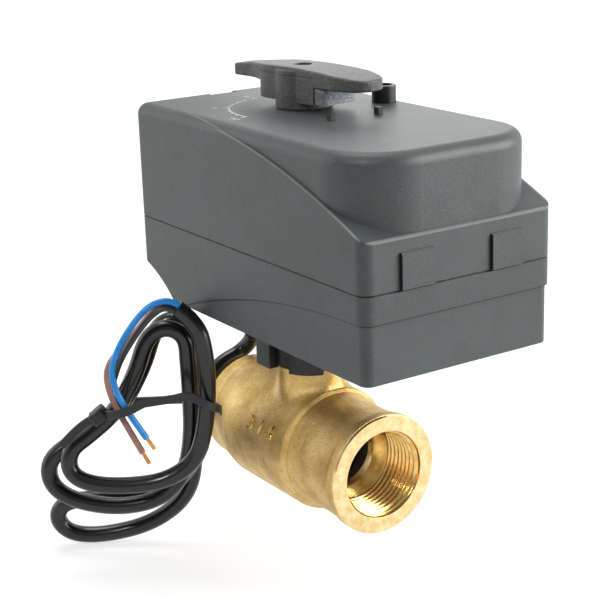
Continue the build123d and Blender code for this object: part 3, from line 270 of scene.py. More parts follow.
def fit(name, mesh, material, body, replaces=()):
    """Makes a mesh a piece of the object: its finish, its body and the nodes it stands for."""
    mesh.materials.clear()
    mesh.materials.append(material)
    made = bpy.data.objects.new(name, mesh)
    bpy.context.scene.collection.objects.link(made)
    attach(made, body)
    if replaces:
        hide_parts(*replaces)
    return made


def skin(name, grids, material, body, replaces=(), ring=False, sharp=40.0):
    """A closed piece from grids of points in mm, each row a closed ring of points.

    With ring the last row joins the first, and otherwise the two end rows are closed by a flat face.
    Edges that turn by more than sharp degrees stay crisp.
    """
    points, faces, used = [], [], 0
    for grid in grids:
        rows, columns = grid.shape[:2]
        quads = grid_faces(rows, columns, ring)
        if not ring:
            quads += [list(range(columns))[::-1], list(range((rows - 1) * columns, rows * columns))]
        faces += [[k + used for k in face] for face in quads]
        points.append(grid.reshape(-1, 3))
        used += rows * columns
    mesh = bpy.data.meshes.new(name)
    mesh.from_pydata((np.concatenate(points) * MM).tolist(), [], faces)
    turn_outwards(mesh)
    mesh.shade_smooth()
    mesh.set_sharp_from_angle(angle=radians(sharp))
    return fit(name, mesh, material, body, replaces)


def strand(start, way, offset, phase):
    """One strand: a round tube whose centre turns about the core's axis as it goes along."""
    side = np.cross(way, UP)
    side /= np.linalg.norm(side)
    rise = np.cross(way, side)
    along = np.linspace(-TIP_INSIDE, TIP_LENGTH, TIP_RINGS)
    turn = phase + 2 * pi * along / LAY_LENGTH
    turned_off = np.cos(turn)[:, None] * side + np.sin(turn)[:, None] * rise
    centres = start + along[:, None] * way + offset * turned_off
    around = np.linspace(0, 2 * pi, STRAND_SIDES, endpoint=False)
    circle = STRAND_R * (np.cos(around)[:, None] * side + np.sin(around)[:, None] * rise)
    return centres[:, None, :] + circle[None, :, :]


# Drawn copper: bright, slightly dulled, with fine draw lines too small to see
drawn_copper = finish_of("drawn_copper", ("#C98A4B", "#E0A868"), 0.6, ((0.15, 0.01, 2.0),),
                         Metallic=1.0, Roughness=0.3)
strands = []
for start, way in wire_ends:
    strands.append(strand(start, way, 0.0, 0.0))
    strands += [strand(start, way, 2 * STRAND_R, 2 * pi * k / OUTER_STRANDS) for k in range(OUTER_STRANDS)]
skin("wire_strands", strands, drawn_copper, "housing", ("wire_tips",))

# Gland: a soft black sleeve moulded round the lead, with ribs that let it bend.
# It is pressed into the housing's boss, and its boot tapers down along the lead.
GLAND_EXIT = np.array((-66.0, 3.0, 42.5))
BOOT_LENGTH, BOOT_STEP, BOOT_SIDES = 21.0, 0.2, 32
BOOT_START_R, BOOT_END_R = 4.3, 3.1
RIB_PITCH, RIB_HEIGHT, RIB_SQUARENESS = 2.6, 0.35, 1.6
WALK_STEP = 0.1


def line_of(curve_object):
    """The points of a cord's own spline in mm, read from a copy of the curve with no bevel."""
    bare = bpy.data.objects.new("bare", curve_object.data.copy())
    bare.data.bevel_depth = 0
    mesh = bpy.data.meshes.new_from_object(bare)
    line = np.array([v.co for v in mesh.vertices]) / MM
    bpy.data.meshes.remove(mesh)
    bpy.data.curves.remove(bare.data)
    return line


def lengths_along(line):
    """The length along a line from its start to each of its points."""
    return np.r_[0, np.cumsum(np.linalg.norm(np.diff(line, axis=0), axis=1))]


def ways_along(line):
    """The unit direction of a line at each of its points."""
    ways = np.gradient(line, axis=0)
    return ways / np.linalg.norm(ways, axis=1)[:, None]


def walk(line, start, length, step):
    """Points a step apart along a line from the place nearest to start, and how far along each lies."""
    along = lengths_along(line)
    fine = np.arange(0, along[-1], WALK_STEP)
    dense = np.stack([np.interp(fine, along, line[:, k]) for k in range(3)], 1)
    first = fine[np.linalg.norm(dense - start, axis=1).argmin()]
    at = np.arange(first, first + length, step)
    return np.stack([np.interp(at, along, line[:, k]) for k in range(3)], 1), at - first


def tube_rings(line, radii, sides):
    """Rings round a line: circles square to it, each turned as little as possible from the last."""
    ways = ways_along(line)
    side = np.cross(ways[0], FRONT)
    rings, around = [], np.linspace(0, 2 * pi, sides, endpoint=False)
    for centre, way, radius in zip(line, ways, radii):
        side = side - way * (side @ way)
        side /= np.linalg.norm(side)
        rise = np.cross(way, side)
        rings.append(centre + radius * (np.cos(around)[:, None] * side + np.sin(around)[:, None] * rise))
    return np.array(rings)


# Moulded thermoplastic rubber: black and matt
boot_rubber = finish_of("moulded_black_rubber", ("#1D1E20", "#26282A"), 5.0, ((0.4, 0.02, 2.0),),
                        Roughness=0.6)
boot_line, boot_along = walk(line_of(cable), GLAND_EXIT, BOOT_LENGTH, BOOT_STEP)
taper = BOOT_START_R + (BOOT_END_R - BOOT_START_R) * boot_along / BOOT_LENGTH
ribs = RIB_HEIGHT * np.clip(RIB_SQUARENESS * np.cos(2 * pi * boot_along / RIB_PITCH), -1, 1)
boot = skin("cable_boot", [tube_rings(boot_line, taper + ribs, BOOT_SIDES)], boot_rubber, "housing")

# Cable tie: one strap of black nylon 6.6, moulded flat with fine teeth on its inner side.
# It is pulled tight round the hank and its wires, and the spare end sticks out of the square head.
TIE_WIDTH, TIE_THICK = 2.5, 1.0
TIE_TOOTH_PITCH, TIE_TOOTH_DEPTH = 1.3, 0.28
TIE_MIDDLE, TIE_HALF, TIE_SQUARENESS, TIE_STEPS = (-1.7, 9.2), (17.2, 11.6), 5.0, 180
# How high the strap's front lies at each place along the hank, how high its back does, and how fast the
# one goes over into the other
TIE_RISE = (
    (-19.0, 15.4), (-10.6, 17.4), (-3.0, 20.6), (3.6, 22.4), (8.5, 21.0), (12.9, 17.6), (16.0, 16.6))
TIE_BACK_Z, TIE_FRONT_FADE, TIE_SMOOTHING = 12.0, 1.2, 7
# The back corner beside the valve is drawn in: how far, and from where along the hank and across it
TIE_BACK_IN, TIE_IN_FROM, TIE_IN_FADE = 3.0, (6.0, 10.0), 8.0
HEAD_CENTRE, HEAD_SIZE, HEAD_SQUARENESS, HEAD_STEPS = (-20.4, 14.8, 16.2), (4.8, 5.4, 4.2), 7.0, 48
TAIL_END, TAIL_ARCH, TAIL_STEPS = (-31.9, 6.0, 17.6), 1.0, 90


def superellipse(angle, halves, power):
    """A rounded rectangle: cosine and sine of the angle, each to the power 2 / power, times half the size."""
    c, s = np.cos(angle), np.sin(angle)
    return (np.sign(c) * np.abs(c) ** (2 / power) * halves[0],
            np.sign(s) * np.abs(s) ** (2 / power) * halves[1])


def strap_rings(line, outward, toothed):
    """Flat sections along a line: width across, thickness along outward, one side cut into ramps by teeth."""
    across = np.cross(ways_along(line), outward)
    across /= np.linalg.norm(across, axis=1)[:, None]
    ramp = TIE_TOOTH_DEPTH * (lengths_along(line) / TIE_TOOTH_PITCH % 1.0)
    edge = np.array([(-1, 0.3), (-0.92, 0.5), (0.92, 0.5), (1, 0.3), (1, -0.3), (0.92, -0.5),
                     (0.66, -0.5), (0.6, -0.5), (-0.6, -0.5), (-0.66, -0.5), (-0.92, -0.5), (-1, -0.3)])
    toothed_columns = np.zeros(len(edge))
    toothed_columns[7:9] = 1.0 if toothed else 0.0
    wide = edge[None, :, 0] * TIE_WIDTH / 2
    deep = edge[None, :, 1] * TIE_THICK + toothed_columns[None, :] * ramp[:, None]
    return line[:, None, :] + wide[:, :, None] * across[:, None, :] + deep[:, :, None] * outward[:, None, :]


# Moulded nylon: black with a low even gloss, its teeth sharp enough to catch the light
tie_nylon = finish_of("moulded_black_nylon", ("#0F1011", "#18191B"), 3.0, ((0.5, 0.01, 2.0),), Roughness=0.4)
around = np.linspace(0, 2 * pi, TIE_STEPS, endpoint=False)
loop_a, loop_w = superellipse(around, TIE_HALF, TIE_SQUARENESS)
loop_a, loop_w = loop_a + TIE_MIDDLE[0], loop_w + TIE_MIDDLE[1]
loop_a -= (TIE_BACK_IN * np.clip((TIE_IN_FROM[1] - loop_w) / TIE_IN_FADE, 0, 1)
           * np.clip((loop_a - TIE_IN_FROM[0]) / TIE_IN_FADE, 0, 1))
front_share = np.clip((loop_w - TIE_MIDDLE[1]) / TIE_HALF[1] * TIE_FRONT_FADE, 0, 1)
rise_a, rise_z = np.array(TIE_RISE).T
loop_z = TIE_BACK_Z + front_share * (np.interp(loop_a, rise_a, rise_z) - TIE_BACK_Z)
spread = np.exp(-np.linspace(-2, 2, 2 * TIE_SMOOTHING + 1) ** 2)
padded_z = np.r_[loop_z[-TIE_SMOOTHING:], loop_z, loop_z[:TIE_SMOOTHING]]
loop_z = np.convolve(padded_z, spread / spread.sum(), "valid")
loop = HANK_ORIGIN + loop_a[:, None] * ACROSS + loop_w[:, None] * FRONT + loop_z[:, None] * UP
outward = np.cos(around)[:, None] * ACROSS + np.sin(around)[:, None] * FRONT
tangent = np.roll(loop, -1, axis=0) - np.roll(loop, 1, axis=0)
outward = np.cross(tangent, np.cross(outward, tangent))
outward /= np.linalg.norm(outward, axis=1)[:, None]
skin("cable_tie_band", [strap_rings(loop, outward, False)], tie_nylon, "housing",
     ("cable_tie",), ring=True, sharp=30.0)
tail_part = np.linspace(0, 1, TAIL_STEPS)[:, None]
head_point, tail_point = on_hank(*HEAD_CENTRE), on_hank(*TAIL_END)
tail_line = head_point + tail_part * (tail_point - head_point) + UP * (TAIL_ARCH * np.sin(pi * tail_part))
head_way = (tail_point - head_point) / np.linalg.norm(tail_point - head_point)
tail_out = FRONT - head_way * (FRONT @ head_way)
tail_out = np.tile(tail_out / np.linalg.norm(tail_out), (TAIL_STEPS, 1))
head_rise = np.cross(FRONT, head_way)
head_turn = np.linspace(0, 2 * pi, HEAD_STEPS, endpoint=False)
head_shape = np.stack(superellipse(head_turn, (HEAD_SIZE[1] / 2, HEAD_SIZE[2] / 2), HEAD_SQUARENESS), 1)
# Each ring of the head: its place along the head's length, and its share of the full section
head_profile = np.array([
    (-0.5, 0.3), (-0.5, 0.8), (-0.46, 0.93), (-0.38, 1.0), (0.2, 1.0), (0.24, 0.94), (0.3, 0.94),
    (0.34, 1.0), (0.42, 1.0), (0.48, 0.93), (0.5, 0.85), (0.5, 0.62), (0.4, 0.56)])
tie_head = (head_point + head_profile[:, 0, None, None] * HEAD_SIZE[0] * head_way
            + (head_profile[:, 1, None] * head_shape[None, :, 0])[:, :, None] * FRONT
            + (head_profile[:, 1, None] * head_shape[None, :, 1])[:, :, None] * head_rise)
skin("cable_tie_head", [tie_head, strap_rings(tail_line, tail_out, True)], tie_nylon, "housing",
     ("cable_tie",), sharp=30.0)

# Valve body and front end piece: sand-cast brass, turned bright in the ports and on the end faces.
# The end piece is screwed into the body as far as the soft ridge in front of the stem.
PIPE_THREAD_R, PIPE_THREAD_DEPTH, PIPE_PITCH = 13.22, 1.16, 1.814
THREAD_LENGTH, THREAD_LEAD_IN, THREAD_RUN_OUT = 15.0, 2.2, 0.6
THREAD_SHARPNESS, THREAD_ENDS = 0.62, 0.02
SLEEVE_LIFT, SLEEVE_SINK = 0.03, 0.12
THREAD_TURN_STEPS, THREAD_LENGTH_STEPS = 160, 150
VALVE_LENGTH = 74.0
# How far the cutter reached: past the thread's root, and back from the front and the rear face
BORE_CUT, FRONT_CUT, REAR_CUT = 0.6, 0.45, 0.6
# A limit that lies past every surface on its side, and how softly a place ends
BEYOND, SOFT = 9.0, 0.1
# The brass skin's patterns: tarnished clouds, sand grains, soft lumps, stains, and rings from the tool
CLOUD_SIZE, GRAIN_SIZE, LUMP_SIZE, STAIN_SIZE, TOOL_RING = 9.0, 0.55, 2.4, 3.5, 0.22
CAST_RELIEF, TOOL_SHARE, BORE_SOFT = 0.16, 0.1, 0.15


def dress(material, *names):
    """Gives CAD nodes a finish."""
    for name in names:
        for material_slot in nodes[name].material_slots:
            material_slot.material = material


def within(tree, value, low, high, blur):
    """1 where a value lies between two limits in mm, fading to 0 over blur mm outside them."""
    rise = add(tree, "MapRange", {"Value": value, "From Min": (low - blur) * MM, "From Max": low * MM})
    fall = add(tree, "MapRange", {"Value": value, "From Min": (high + blur) * MM, "From Max": high * MM})
    return add(tree, "Math", {0: rise.outputs[0], 1: fall.outputs[0]}, operation="MULTIPLY").outputs[0]


def cast_and_turned_brass(name):
    """Brass with two finishes by place: turned near the bores and at the end faces, and cast elsewhere."""
    material, tree, shader = blank_finish(name)
    shader.inputs["Metallic"].default_value = 1.0
    place = add(tree, "TexCoord").outputs["Object"]
    apart = add(tree, "SeparateXYZ", {0: place})
    flat = add(tree, "VectorMath", {0: place, 1: (0, 1, 1)}, operation="MULTIPLY")
    radius = add(tree, "VectorMath", {0: flat.outputs[0]}, operation="LENGTH").outputs["Value"]
    in_bore = within(tree, radius, -BEYOND, PIPE_THREAD_R + BORE_CUT, BORE_SOFT)
    at_front = within(tree, apart.outputs["X"], -FRONT_CUT, BEYOND, SOFT)
    at_rear = within(tree, apart.outputs["X"], -VALVE_LENGTH - BEYOND, -VALVE_LENGTH + REAR_CUT, SOFT)
    ends = add(tree, "Math", {0: at_front, 1: at_rear}, operation="MAXIMUM")
    turned = add(tree, "Math", {0: in_bore, 1: ends.outputs[0]}, operation="MAXIMUM").outputs[0]
    # Cast skin: grains of moulding sand about half a millimetre wide, and duller tarnished clouds
    clouds = add(tree, "TexNoise", {"Vector": place, "Scale": 1 / (CLOUD_SIZE * MM), "Detail": 5.0,
                                    "Roughness": 0.6})
    cloud_level = add(tree, "MapRange", {"Value": clouds.outputs["Fac"], "From Min": 0.36, "From Max": 0.64})
    cast_tone = add(tree, "Mix", {"Factor": cloud_level.outputs[0], MIX_A: srgb("#C0A060"),
                                  MIX_B: srgb("#E4C686")}, data_type="RGBA")
    grains = add(tree, "TexNoise", {"Vector": place, "Scale": 1 / (GRAIN_SIZE * MM), "Detail": 3.0,
                                    "Roughness": 0.65})
    grain_level = add(tree, "MapRange", {"Value": grains.outputs["Fac"], "From Min": 0.36, "From Max": 0.5})
    grain_part = add(tree, "MapRange", {"Value": grain_level.outputs[0], "To Min": 0.36, "To Max": 0.0})
    speckled = add(tree, "Mix", {"Factor": grain_part.outputs[0], MIX_A: cast_tone.outputs[MIX_COLOUR],
                                 MIX_B: srgb("#866A3C")}, data_type="RGBA")
    # Turned faces: pale, with rings from the tool and a few stains from handling
    stains = add(tree, "TexNoise", {"Vector": place, "Scale": 1 / (STAIN_SIZE * MM), "Detail": 5.0,
                                    "Roughness": 0.7})
    stain_level = add(tree, "MapRange", {"Value": stains.outputs["Fac"], "From Min": 0.4, "From Max": 0.62})
    turned_tone = add(tree, "Mix", {"Factor": stain_level.outputs[0], MIX_A: srgb("#F8E2B0"),
                                    MIX_B: srgb("#E6C583")}, data_type="RGBA")
    tone = add(tree, "Mix", {"Factor": turned, MIX_A: speckled.outputs[MIX_COLOUR],
                             MIX_B: turned_tone.outputs[MIX_COLOUR]}, data_type="RGBA")
    tree.links.new(tone.outputs[MIX_COLOUR], shader.inputs["Base Color"])
    rough = add(tree, "MapRange", {"Value": turned, "To Min": 0.5, "To Max": 0.22})
    tree.links.new(rough.outputs[0], shader.inputs["Roughness"])
    # Relief: sand grains and soft lumps on the casting, and fine rings where it is turned
    tool_place = add(tree, "CombineXYZ", {"X": radius, "Y": apart.outputs["X"]})
    tool_rings = add(tree, "TexNoise", {"Vector": tool_place.outputs[0], "Scale": 1 / (TOOL_RING * MM),
                                        "Detail": 2.0})
    tool_height = add(tree, "Math", {0: tool_rings.outputs["Fac"], 1: TOOL_SHARE}, operation="MULTIPLY")
    lumps = add(tree, "TexNoise", {"Vector": place, "Scale": 1 / (LUMP_SIZE * MM), "Detail": 2.0})
    cast_height = add(tree, "Math", {0: grains.outputs["Fac"], 1: lumps.outputs["Fac"]}, operation="ADD")
    height = add(tree, "Mix", {"Factor": turned, 2: cast_height.outputs[0], 3: tool_height.outputs[0]})
    bump = add(tree, "Bump", {"Height": height.outputs[0], "Distance": CAST_RELIEF * MM})
    tree.links.new(bump.outputs["Normal"], shader.inputs["Normal"])
    return material


brass = cast_and_turned_brass("sand_cast_and_turned_brass")
dress(brass, "valve_body", "valve_end")


def thread_rings(mouth_x, inwards):
    """A pipe thread's sleeve: closed loops of a profile, one at each angle round the bore.

    The inner side's radius is the root's less the depth times a rounded triangle wave of x / pitch less the
    turn. The wave fades in from the mouth and out at the inner end, and the outer side is plain.
    """
    turn = np.linspace(0, 2 * pi, THREAD_TURN_STEPS, endpoint=False)
    depth_in = np.linspace(THREAD_ENDS, THREAD_LENGTH - THREAD_ENDS, THREAD_LENGTH_STEPS)
    phase = depth_in[None, :] / PIPE_PITCH - turn[:, None] / (2 * pi) * inwards
    wave = np.clip(0.5 + THREAD_SHARPNESS * (np.abs(2 * (phase % 1.0) - 1) * 2 - 1), 0, 1)
    fade_in = np.clip(depth_in / THREAD_LEAD_IN, 0, 1)
    fade_out = np.clip((THREAD_LENGTH - depth_in) / THREAD_RUN_OUT, 0, 1)
    inner = PIPE_THREAD_R - SLEEVE_LIFT - PIPE_THREAD_DEPTH * wave * (fade_in * fade_out)[None, :]
    outer = np.full((len(turn), 2), PIPE_THREAD_R + SLEEVE_SINK)
    radius = np.concatenate([inner, outer], 1)
    x = np.concatenate([depth_in, (THREAD_LENGTH - THREAD_ENDS, THREAD_ENDS)])
    x = np.broadcast_to(mouth_x - inwards * x, radius.shape)
    return np.stack([x, radius * np.cos(turn)[:, None], radius * np.sin(turn)[:, None]], 2)


# Cut brass: bright yellow flanks, burnished on the crests where the cutter leaves them
cut_brass = finish_of("cut_thread_brass", ("#F0CD86", "#DDB366"), 2.0, ((0.3, 0.01, 2.0),), Metallic=1.0,
                      Roughness=0.24)
for port, mouth_x, inwards in (("front", 0.0, 1), ("rear", -VALVE_LENGTH, -1)):
    skin(f"{port}_port_thread", [thread_rings(mouth_x, inwards)], cut_brass, "housing", ring=True,
         sharp=180.0)

# Size mark: the port size stands on the barrel in raised figures, cast with the body.
# Their paler, glossier cut brass is a painted highlight that makes them stand out from the skin round them.
MARK_HEIGHT, MARK_RAISE, MARK_SPACING = 5.2, 0.5, 1.8
# A figure stands about 1 / 1.35 of its font's size, and its outline is thinned by a part of that size
FONT_PER_HEIGHT, FONT_THINNING = 1.35, 0.025
BARREL_R = 19.2
MARK_X, MARK_ANGLE = -38.2, radians(21.0)


def figures(name, words, size, depth, spacing):
    """Figures as a mesh in mm: outlines set apart by spacing, given a depth, and centred at the origin."""
    curve = bpy.data.curves.new(name, "FONT")
    curve.body, curve.size, curve.extrude = words, size, depth / 2
    curve.align_x, curve.align_y = "CENTER", "CENTER"
    curve.offset, curve.space_character = -FONT_THINNING * size, spacing
    made = bpy.data.objects.new(name, curve)
    mesh = bpy.data.meshes.new_from_object(made)
    bpy.data.curves.remove(curve)
    return mesh


def corners_of(mesh):
    """A mesh's vertices as an array."""
    points = np.empty(len(mesh.vertices) * 3, dtype=np.float32)
    mesh.vertices.foreach_get("co", points)
    return points.reshape(-1, 3).astype(float)


def set_figures(name, mesh, points, material):
    """Puts figures on the housing or the valve: their vertices go to the given points in mm."""
    mesh.vertices.foreach_set("co", (points * MM).ravel())
    turn_outwards(mesh)
    return fit(name, mesh, material, "housing")


mark = figures("size_mark", "3/4", MARK_HEIGHT * FONT_PER_HEIGHT, 2 * MARK_RAISE, MARK_SPACING)
flat = corners_of(mark)
bend = MARK_ANGLE + flat[:, 1] / BARREL_R
stand = BARREL_R + flat[:, 2]
on_barrel = np.stack([MARK_X + flat[:, 0], -stand * np.cos(bend), stand * np.sin(bend)], 1)
# The figures' paler cut brass is a painted highlight
set_figures("size_mark", mark, on_barrel, cut_brass)

# Ball, seats, stem and nut: the working parts inside the casting.
# The ball is hard-chromed brass, the seats are filled plastic, and the stem turns in two rubber rings.
# Hard chrome: a clean mirror with the faintest polish haze
chrome = finish_of("hard_chrome", ("#DADDE0", "#ECEEEF"), 6.0, ((0.3, 0.002, 2.0),), Metallic=1.0,
                   Roughness=0.08)
dress(chrome, "ball")
# Carbon-filled PTFE: dark grey and waxy
seat_ptfe = finish_of("carbon_filled_ptfe", ("#33312E", "#45423D"), 1.2, ((0.25, 0.01, 2.0),),
                      Roughness=0.5)
dress(seat_ptfe, "seat_rings")
# Turned brass bar: yellow, with fine tool marks
turned_brass = finish_of("turned_brass_bar", ("#D9B56C", "#E8C884"), 3.0, ((0.2, 0.01, 2.0),), Metallic=1.0,
                         Roughness=0.25)
dress(turned_brass, "stem", "gland_nut", "motor_pinion")
# Nitrile rubber: black and matt, with a trace of talc
nitrile = finish_of("nitrile_rubber", ("#17181A", "#232426"), 2.0, ((0.4, 0.02, 2.0),), Roughness=0.65)
dress(nitrile, "stem_seals", "shaft_seal", "housing_gasket", "cable_gland")

# Adapter and coupling: black glass-filled nylon, moulded, between the valve's boss and the housing.
# Four screws hold it from inside the base, and a grub screw clamps it on the boss.
# Glass-filled nylon: nearly black, matt and slightly mottled by its fibres
filled_nylon = finish_of("glass_filled_nylon", ("#232425", "#2E2F30"), 1.6, ((0.5, 0.03, 3.0),),
                         Roughness=0.52)
dress(filled_nylon, "mounting_adapter", "stem_coupling")
# Zinc-plated steel: pale grey with a cool cast
zinc_steel = finish_of("zinc_plated_steel", ("#B9BCBD", "#CFD1D0"), 4.0, ((0.6, 0.01, 3.0),), Metallic=1.0,
                       Roughness=0.32)
dress(zinc_steel, "adapter_grub_screw", "adapter_screws", "housing_screws", "gearbox_screws", "motor_screws",
      "gearbox_lower_plate", "gearbox_upper_plate", "gearbox_spacers", "lever_screw")

# Housing: two halves of anthracite ABS, moulded in spark-eroded tools, with a rubber seal between them.
# The cover steps in from a skirt to a rounded hood and has two clips in front and two black stop pips.
HOUSING_TOP, HOUSING_FRONT, HOUSING_MIDDLE_Y = 102.8, 38.5, -2.5
PARTING_Z, PARTING_GAP = 68.5, 0.14
# The skirt's top edge is an arc seen from the side. A painted highlight lies in a band at the arc's radius:
# along each side's rim, whose distances from the middle are given, from the crown on, and along the front's
# rim
SKIRT_ARC_CENTRE, SKIRT_ARC_R, HIGHLIGHT_BAND = (-55.0, -118.2), 221.0, (-0.3, 0.1)
SKIRT_RIM, SKIRT_CROWN, FRONT_RIM, FRONT_SOFT = (30.6, 32.0), 22.0, 0.6, 0.2
# The clips: their sides, height and proud, and the span of painted shade on each clip's side face
CLIP_SIDES, CLIP_HEIGHT, CLIP_PROUD, CLIP_SHADE_SPAN = (-22.2, 7.0), 9.8, 1.0, (-0.2, 0.05)
# The base's step: its arc, and the width and strength of painted shade at its foot
STEP_ARC_CENTRE, STEP_ARC_R, STEP_FOOT, STEP_SHADE = (36.0, -201.1), 262.0, 0.5, 0.9
PIPS_FROM, PIPS_SOFT = 0.06, 0.04
SPECK_SIZE, SPECK_SHARE = 0.36, 0.24


def from_centre(tree, apart, centre):
    """Distance of a point from a line along Y through centre, its x and z in mm."""
    aside = add(tree, "CombineXYZ", {
        "X": add(tree, "Math", {0: apart.outputs["X"], 1: -centre[0] * MM}, operation="ADD").outputs[0],
        "Y": add(tree, "Math", {0: apart.outputs["Z"], 1: -centre[1] * MM}, operation="ADD").outputs[0]})
    return add(tree, "VectorMath", {0: aside.outputs[0]}, operation="LENGTH").outputs["Value"]


def rubbed_places(tree, apart):
    """1 on the skirt's top edge, where a highlight is painted: near the arc's radius, at a side or in front.
    """
    # Painted highlight: a paler line along the skirt's top edge at the sides and in front
    on_arc = within(tree, from_centre(tree, apart, SKIRT_ARC_CENTRE), SKIRT_ARC_R + HIGHLIGHT_BAND[0],
                    SKIRT_ARC_R + HIGHLIGHT_BAND[1], SOFT)
    from_middle = add(tree, "Math", {0: apart.outputs["Y"], 1: -HOUSING_MIDDLE_Y * MM}, operation="ADD")
    aside = add(tree, "Math", {0: from_middle.outputs[0]}, operation="ABSOLUTE")
    on_rim = within(tree, aside.outputs[0], *SKIRT_RIM, SOFT)
    past_crown = within(tree, apart.outputs["X"], SKIRT_ARC_CENTRE[0] + SKIRT_CROWN, HOUSING_FRONT + BEYOND,
                        SKIRT_CROWN)
    side_rim = add(tree, "Math", {0: on_rim, 1: past_crown}, operation="MULTIPLY")
    front_rim = within(tree, apart.outputs["X"], HOUSING_FRONT - FRONT_RIM, HOUSING_FRONT + BEYOND,
                       FRONT_SOFT)
    rim = add(tree, "Math", {0: side_rim.outputs[0], 1: front_rim}, operation="MAXIMUM")
    return add(tree, "Math", {0: on_arc, 1: rim.outputs[0]}, operation="MULTIPLY").outputs[0]


def dark_places(tree, apart):
    """1 on the pips, on the parting line and where shade is painted: the greatest of five parts.

    They are the parting line, painted shade on the side face of each of the two clips, painted shade at the
    foot of the base's step, and all that stands on the cover's top.
    """
    dark = within(tree, apart.outputs["Z"], PARTING_Z - PARTING_GAP, PARTING_Z + PARTING_GAP, SOFT)
    clip_rows = within(tree, apart.outputs["Z"], PARTING_Z, PARTING_Z + CLIP_HEIGHT, SOFT)
    clip_depth = within(tree, apart.outputs["X"], HOUSING_FRONT - SOFT / 2,
                        HOUSING_FRONT + CLIP_PROUD - 1.5 * SOFT, SOFT / 2)
    beside_clip = add(tree, "Math", {0: clip_rows, 1: clip_depth}, operation="MULTIPLY").outputs[0]
    parts = []
    # Painted shade: a dark strip on the side face of each clip
    for side in CLIP_SIDES:
        at_side = within(tree, apart.outputs["Y"], side + CLIP_SHADE_SPAN[0], side + CLIP_SHADE_SPAN[1], SOFT)
        parts.append(add(tree, "Math", {0: beside_clip, 1: at_side}, operation="MULTIPLY").outputs[0])
    # Painted shade along the foot of the base's step, under the band that overhangs it
    step_foot = within(tree, from_centre(tree, apart, STEP_ARC_CENTRE), STEP_ARC_R - STEP_FOOT, STEP_ARC_R,
                       SOFT)
    parts.append(add(tree, "Math", {0: step_foot, 1: STEP_SHADE}, operation="MULTIPLY").outputs[0])
    parts.append(within(tree, apart.outputs["Z"], HOUSING_TOP + PIPS_FROM, HOUSING_TOP + BEYOND, PIPS_SOFT))
    for part in parts:
        dark = add(tree, "Math", {0: dark, 1: part}, operation="MAXIMUM").outputs[0]
    return dark


def moulded_abs(name, tones, speck_tone, highlight_tone, joint_and_shade_tone):
    """Textured ABS: tones that wander a little under fine specks, then a painted highlight, then dark joints,
    pips and painted shade.
    """
    material = finish_of(name, tones, 14.0, ((0.32, 0.06, 3.0), (6.0, 0.05, 1.0)), Roughness=0.42,
                         Specular_IOR_Level=0.45)
    tree = material.node_tree
    shader = tree.nodes["Principled BSDF"]
    place = add(tree, "TexCoord").outputs["Object"]
    apart = add(tree, "SeparateXYZ", {0: place})
    # The eroded texture's peaks are rubbed paler, drawn a little coarser than real so that they show
    peaks = add(tree, "TexNoise", {"Vector": place, "Scale": 1 / (SPECK_SIZE * MM), "Detail": 2.0,
                                   "Roughness": 0.6})
    peak_part = add(tree, "MapRange", {"Value": peaks.outputs["Fac"], "From Min": 0.48, "From Max": 0.7,
                                       "To Max": SPECK_SHARE})
    tone = shader.inputs["Base Color"].links[0].from_socket
    for part, colour in ((peak_part.outputs[0], speck_tone), (rubbed_places(tree, apart), highlight_tone),
                         (dark_places(tree, apart), joint_and_shade_tone)):
        mixed = add(tree, "Mix", {"Factor": part, MIX_A: tone, MIX_B: srgb(colour)}, data_type="RGBA")
        tone = mixed.outputs[MIX_COLOUR]
    tree.links.new(tone, shader.inputs["Base Color"])
    return material


# Its last two tones are the painted highlight on the skirt's edge and the dark of the joint, the pips and the
# painted shade
abs_shell = moulded_abs("spark_textured_abs", ("#3E4343", "#454B4B"), "#727979", "#787E7D", "#17181A")
dress(abs_shell, "housing_cover", "housing_base")

# Scale: white ink pad-printed on the hood, where the lever's tail points from 0 to 90 degrees.
# It is an arc with a tick each ten degrees, and figures at 0, 45 and 90.
SCALE_CENTRE = np.array((-36.0, 0.0, 0.0))
SCALE_FROM, SCALE_SPAN, SCALE_STEPS = 188.0, 90.0, 61
SCALE_R, SCALE_LINE = 21.5, 0.45
TICK_STEP, TICK_SHORT, TICK_LONG, TICK_HALF = 10.0, 1.3, 2.2, 0.22
INK_THICK, INK_SINK = 0.03, 0.02
FIGURE_STEP, FIGURE_SIZE, FIGURE_R, FIGURE_SPACING = 45, 3.4, 26.2, 1.2


def ink_band(angles, radii, widths=None):
    """A thin printed band: rows of four corners at angles in degrees, between two radii.

    Widths shift the rows sideways, so that two rows at one angle make a tick.
    """
    turn = np.radians(np.asarray(angles, dtype=float))
    shift = np.zeros(len(turn)) if widths is None else np.asarray(widths)
    low, high = HOUSING_TOP - INK_SINK, HOUSING_TOP + INK_THICK
    rows = []
    for r, z in ((radii[0], low), (radii[1], low), (radii[1], high), (radii[0], high)):
        rows.append(np.stack([r * np.cos(turn) - shift * np.sin(turn),
                              r * np.sin(turn) + shift * np.cos(turn), np.full(len(turn), z)], 1))
    return SCALE_CENTRE + np.stack(rows, 1)


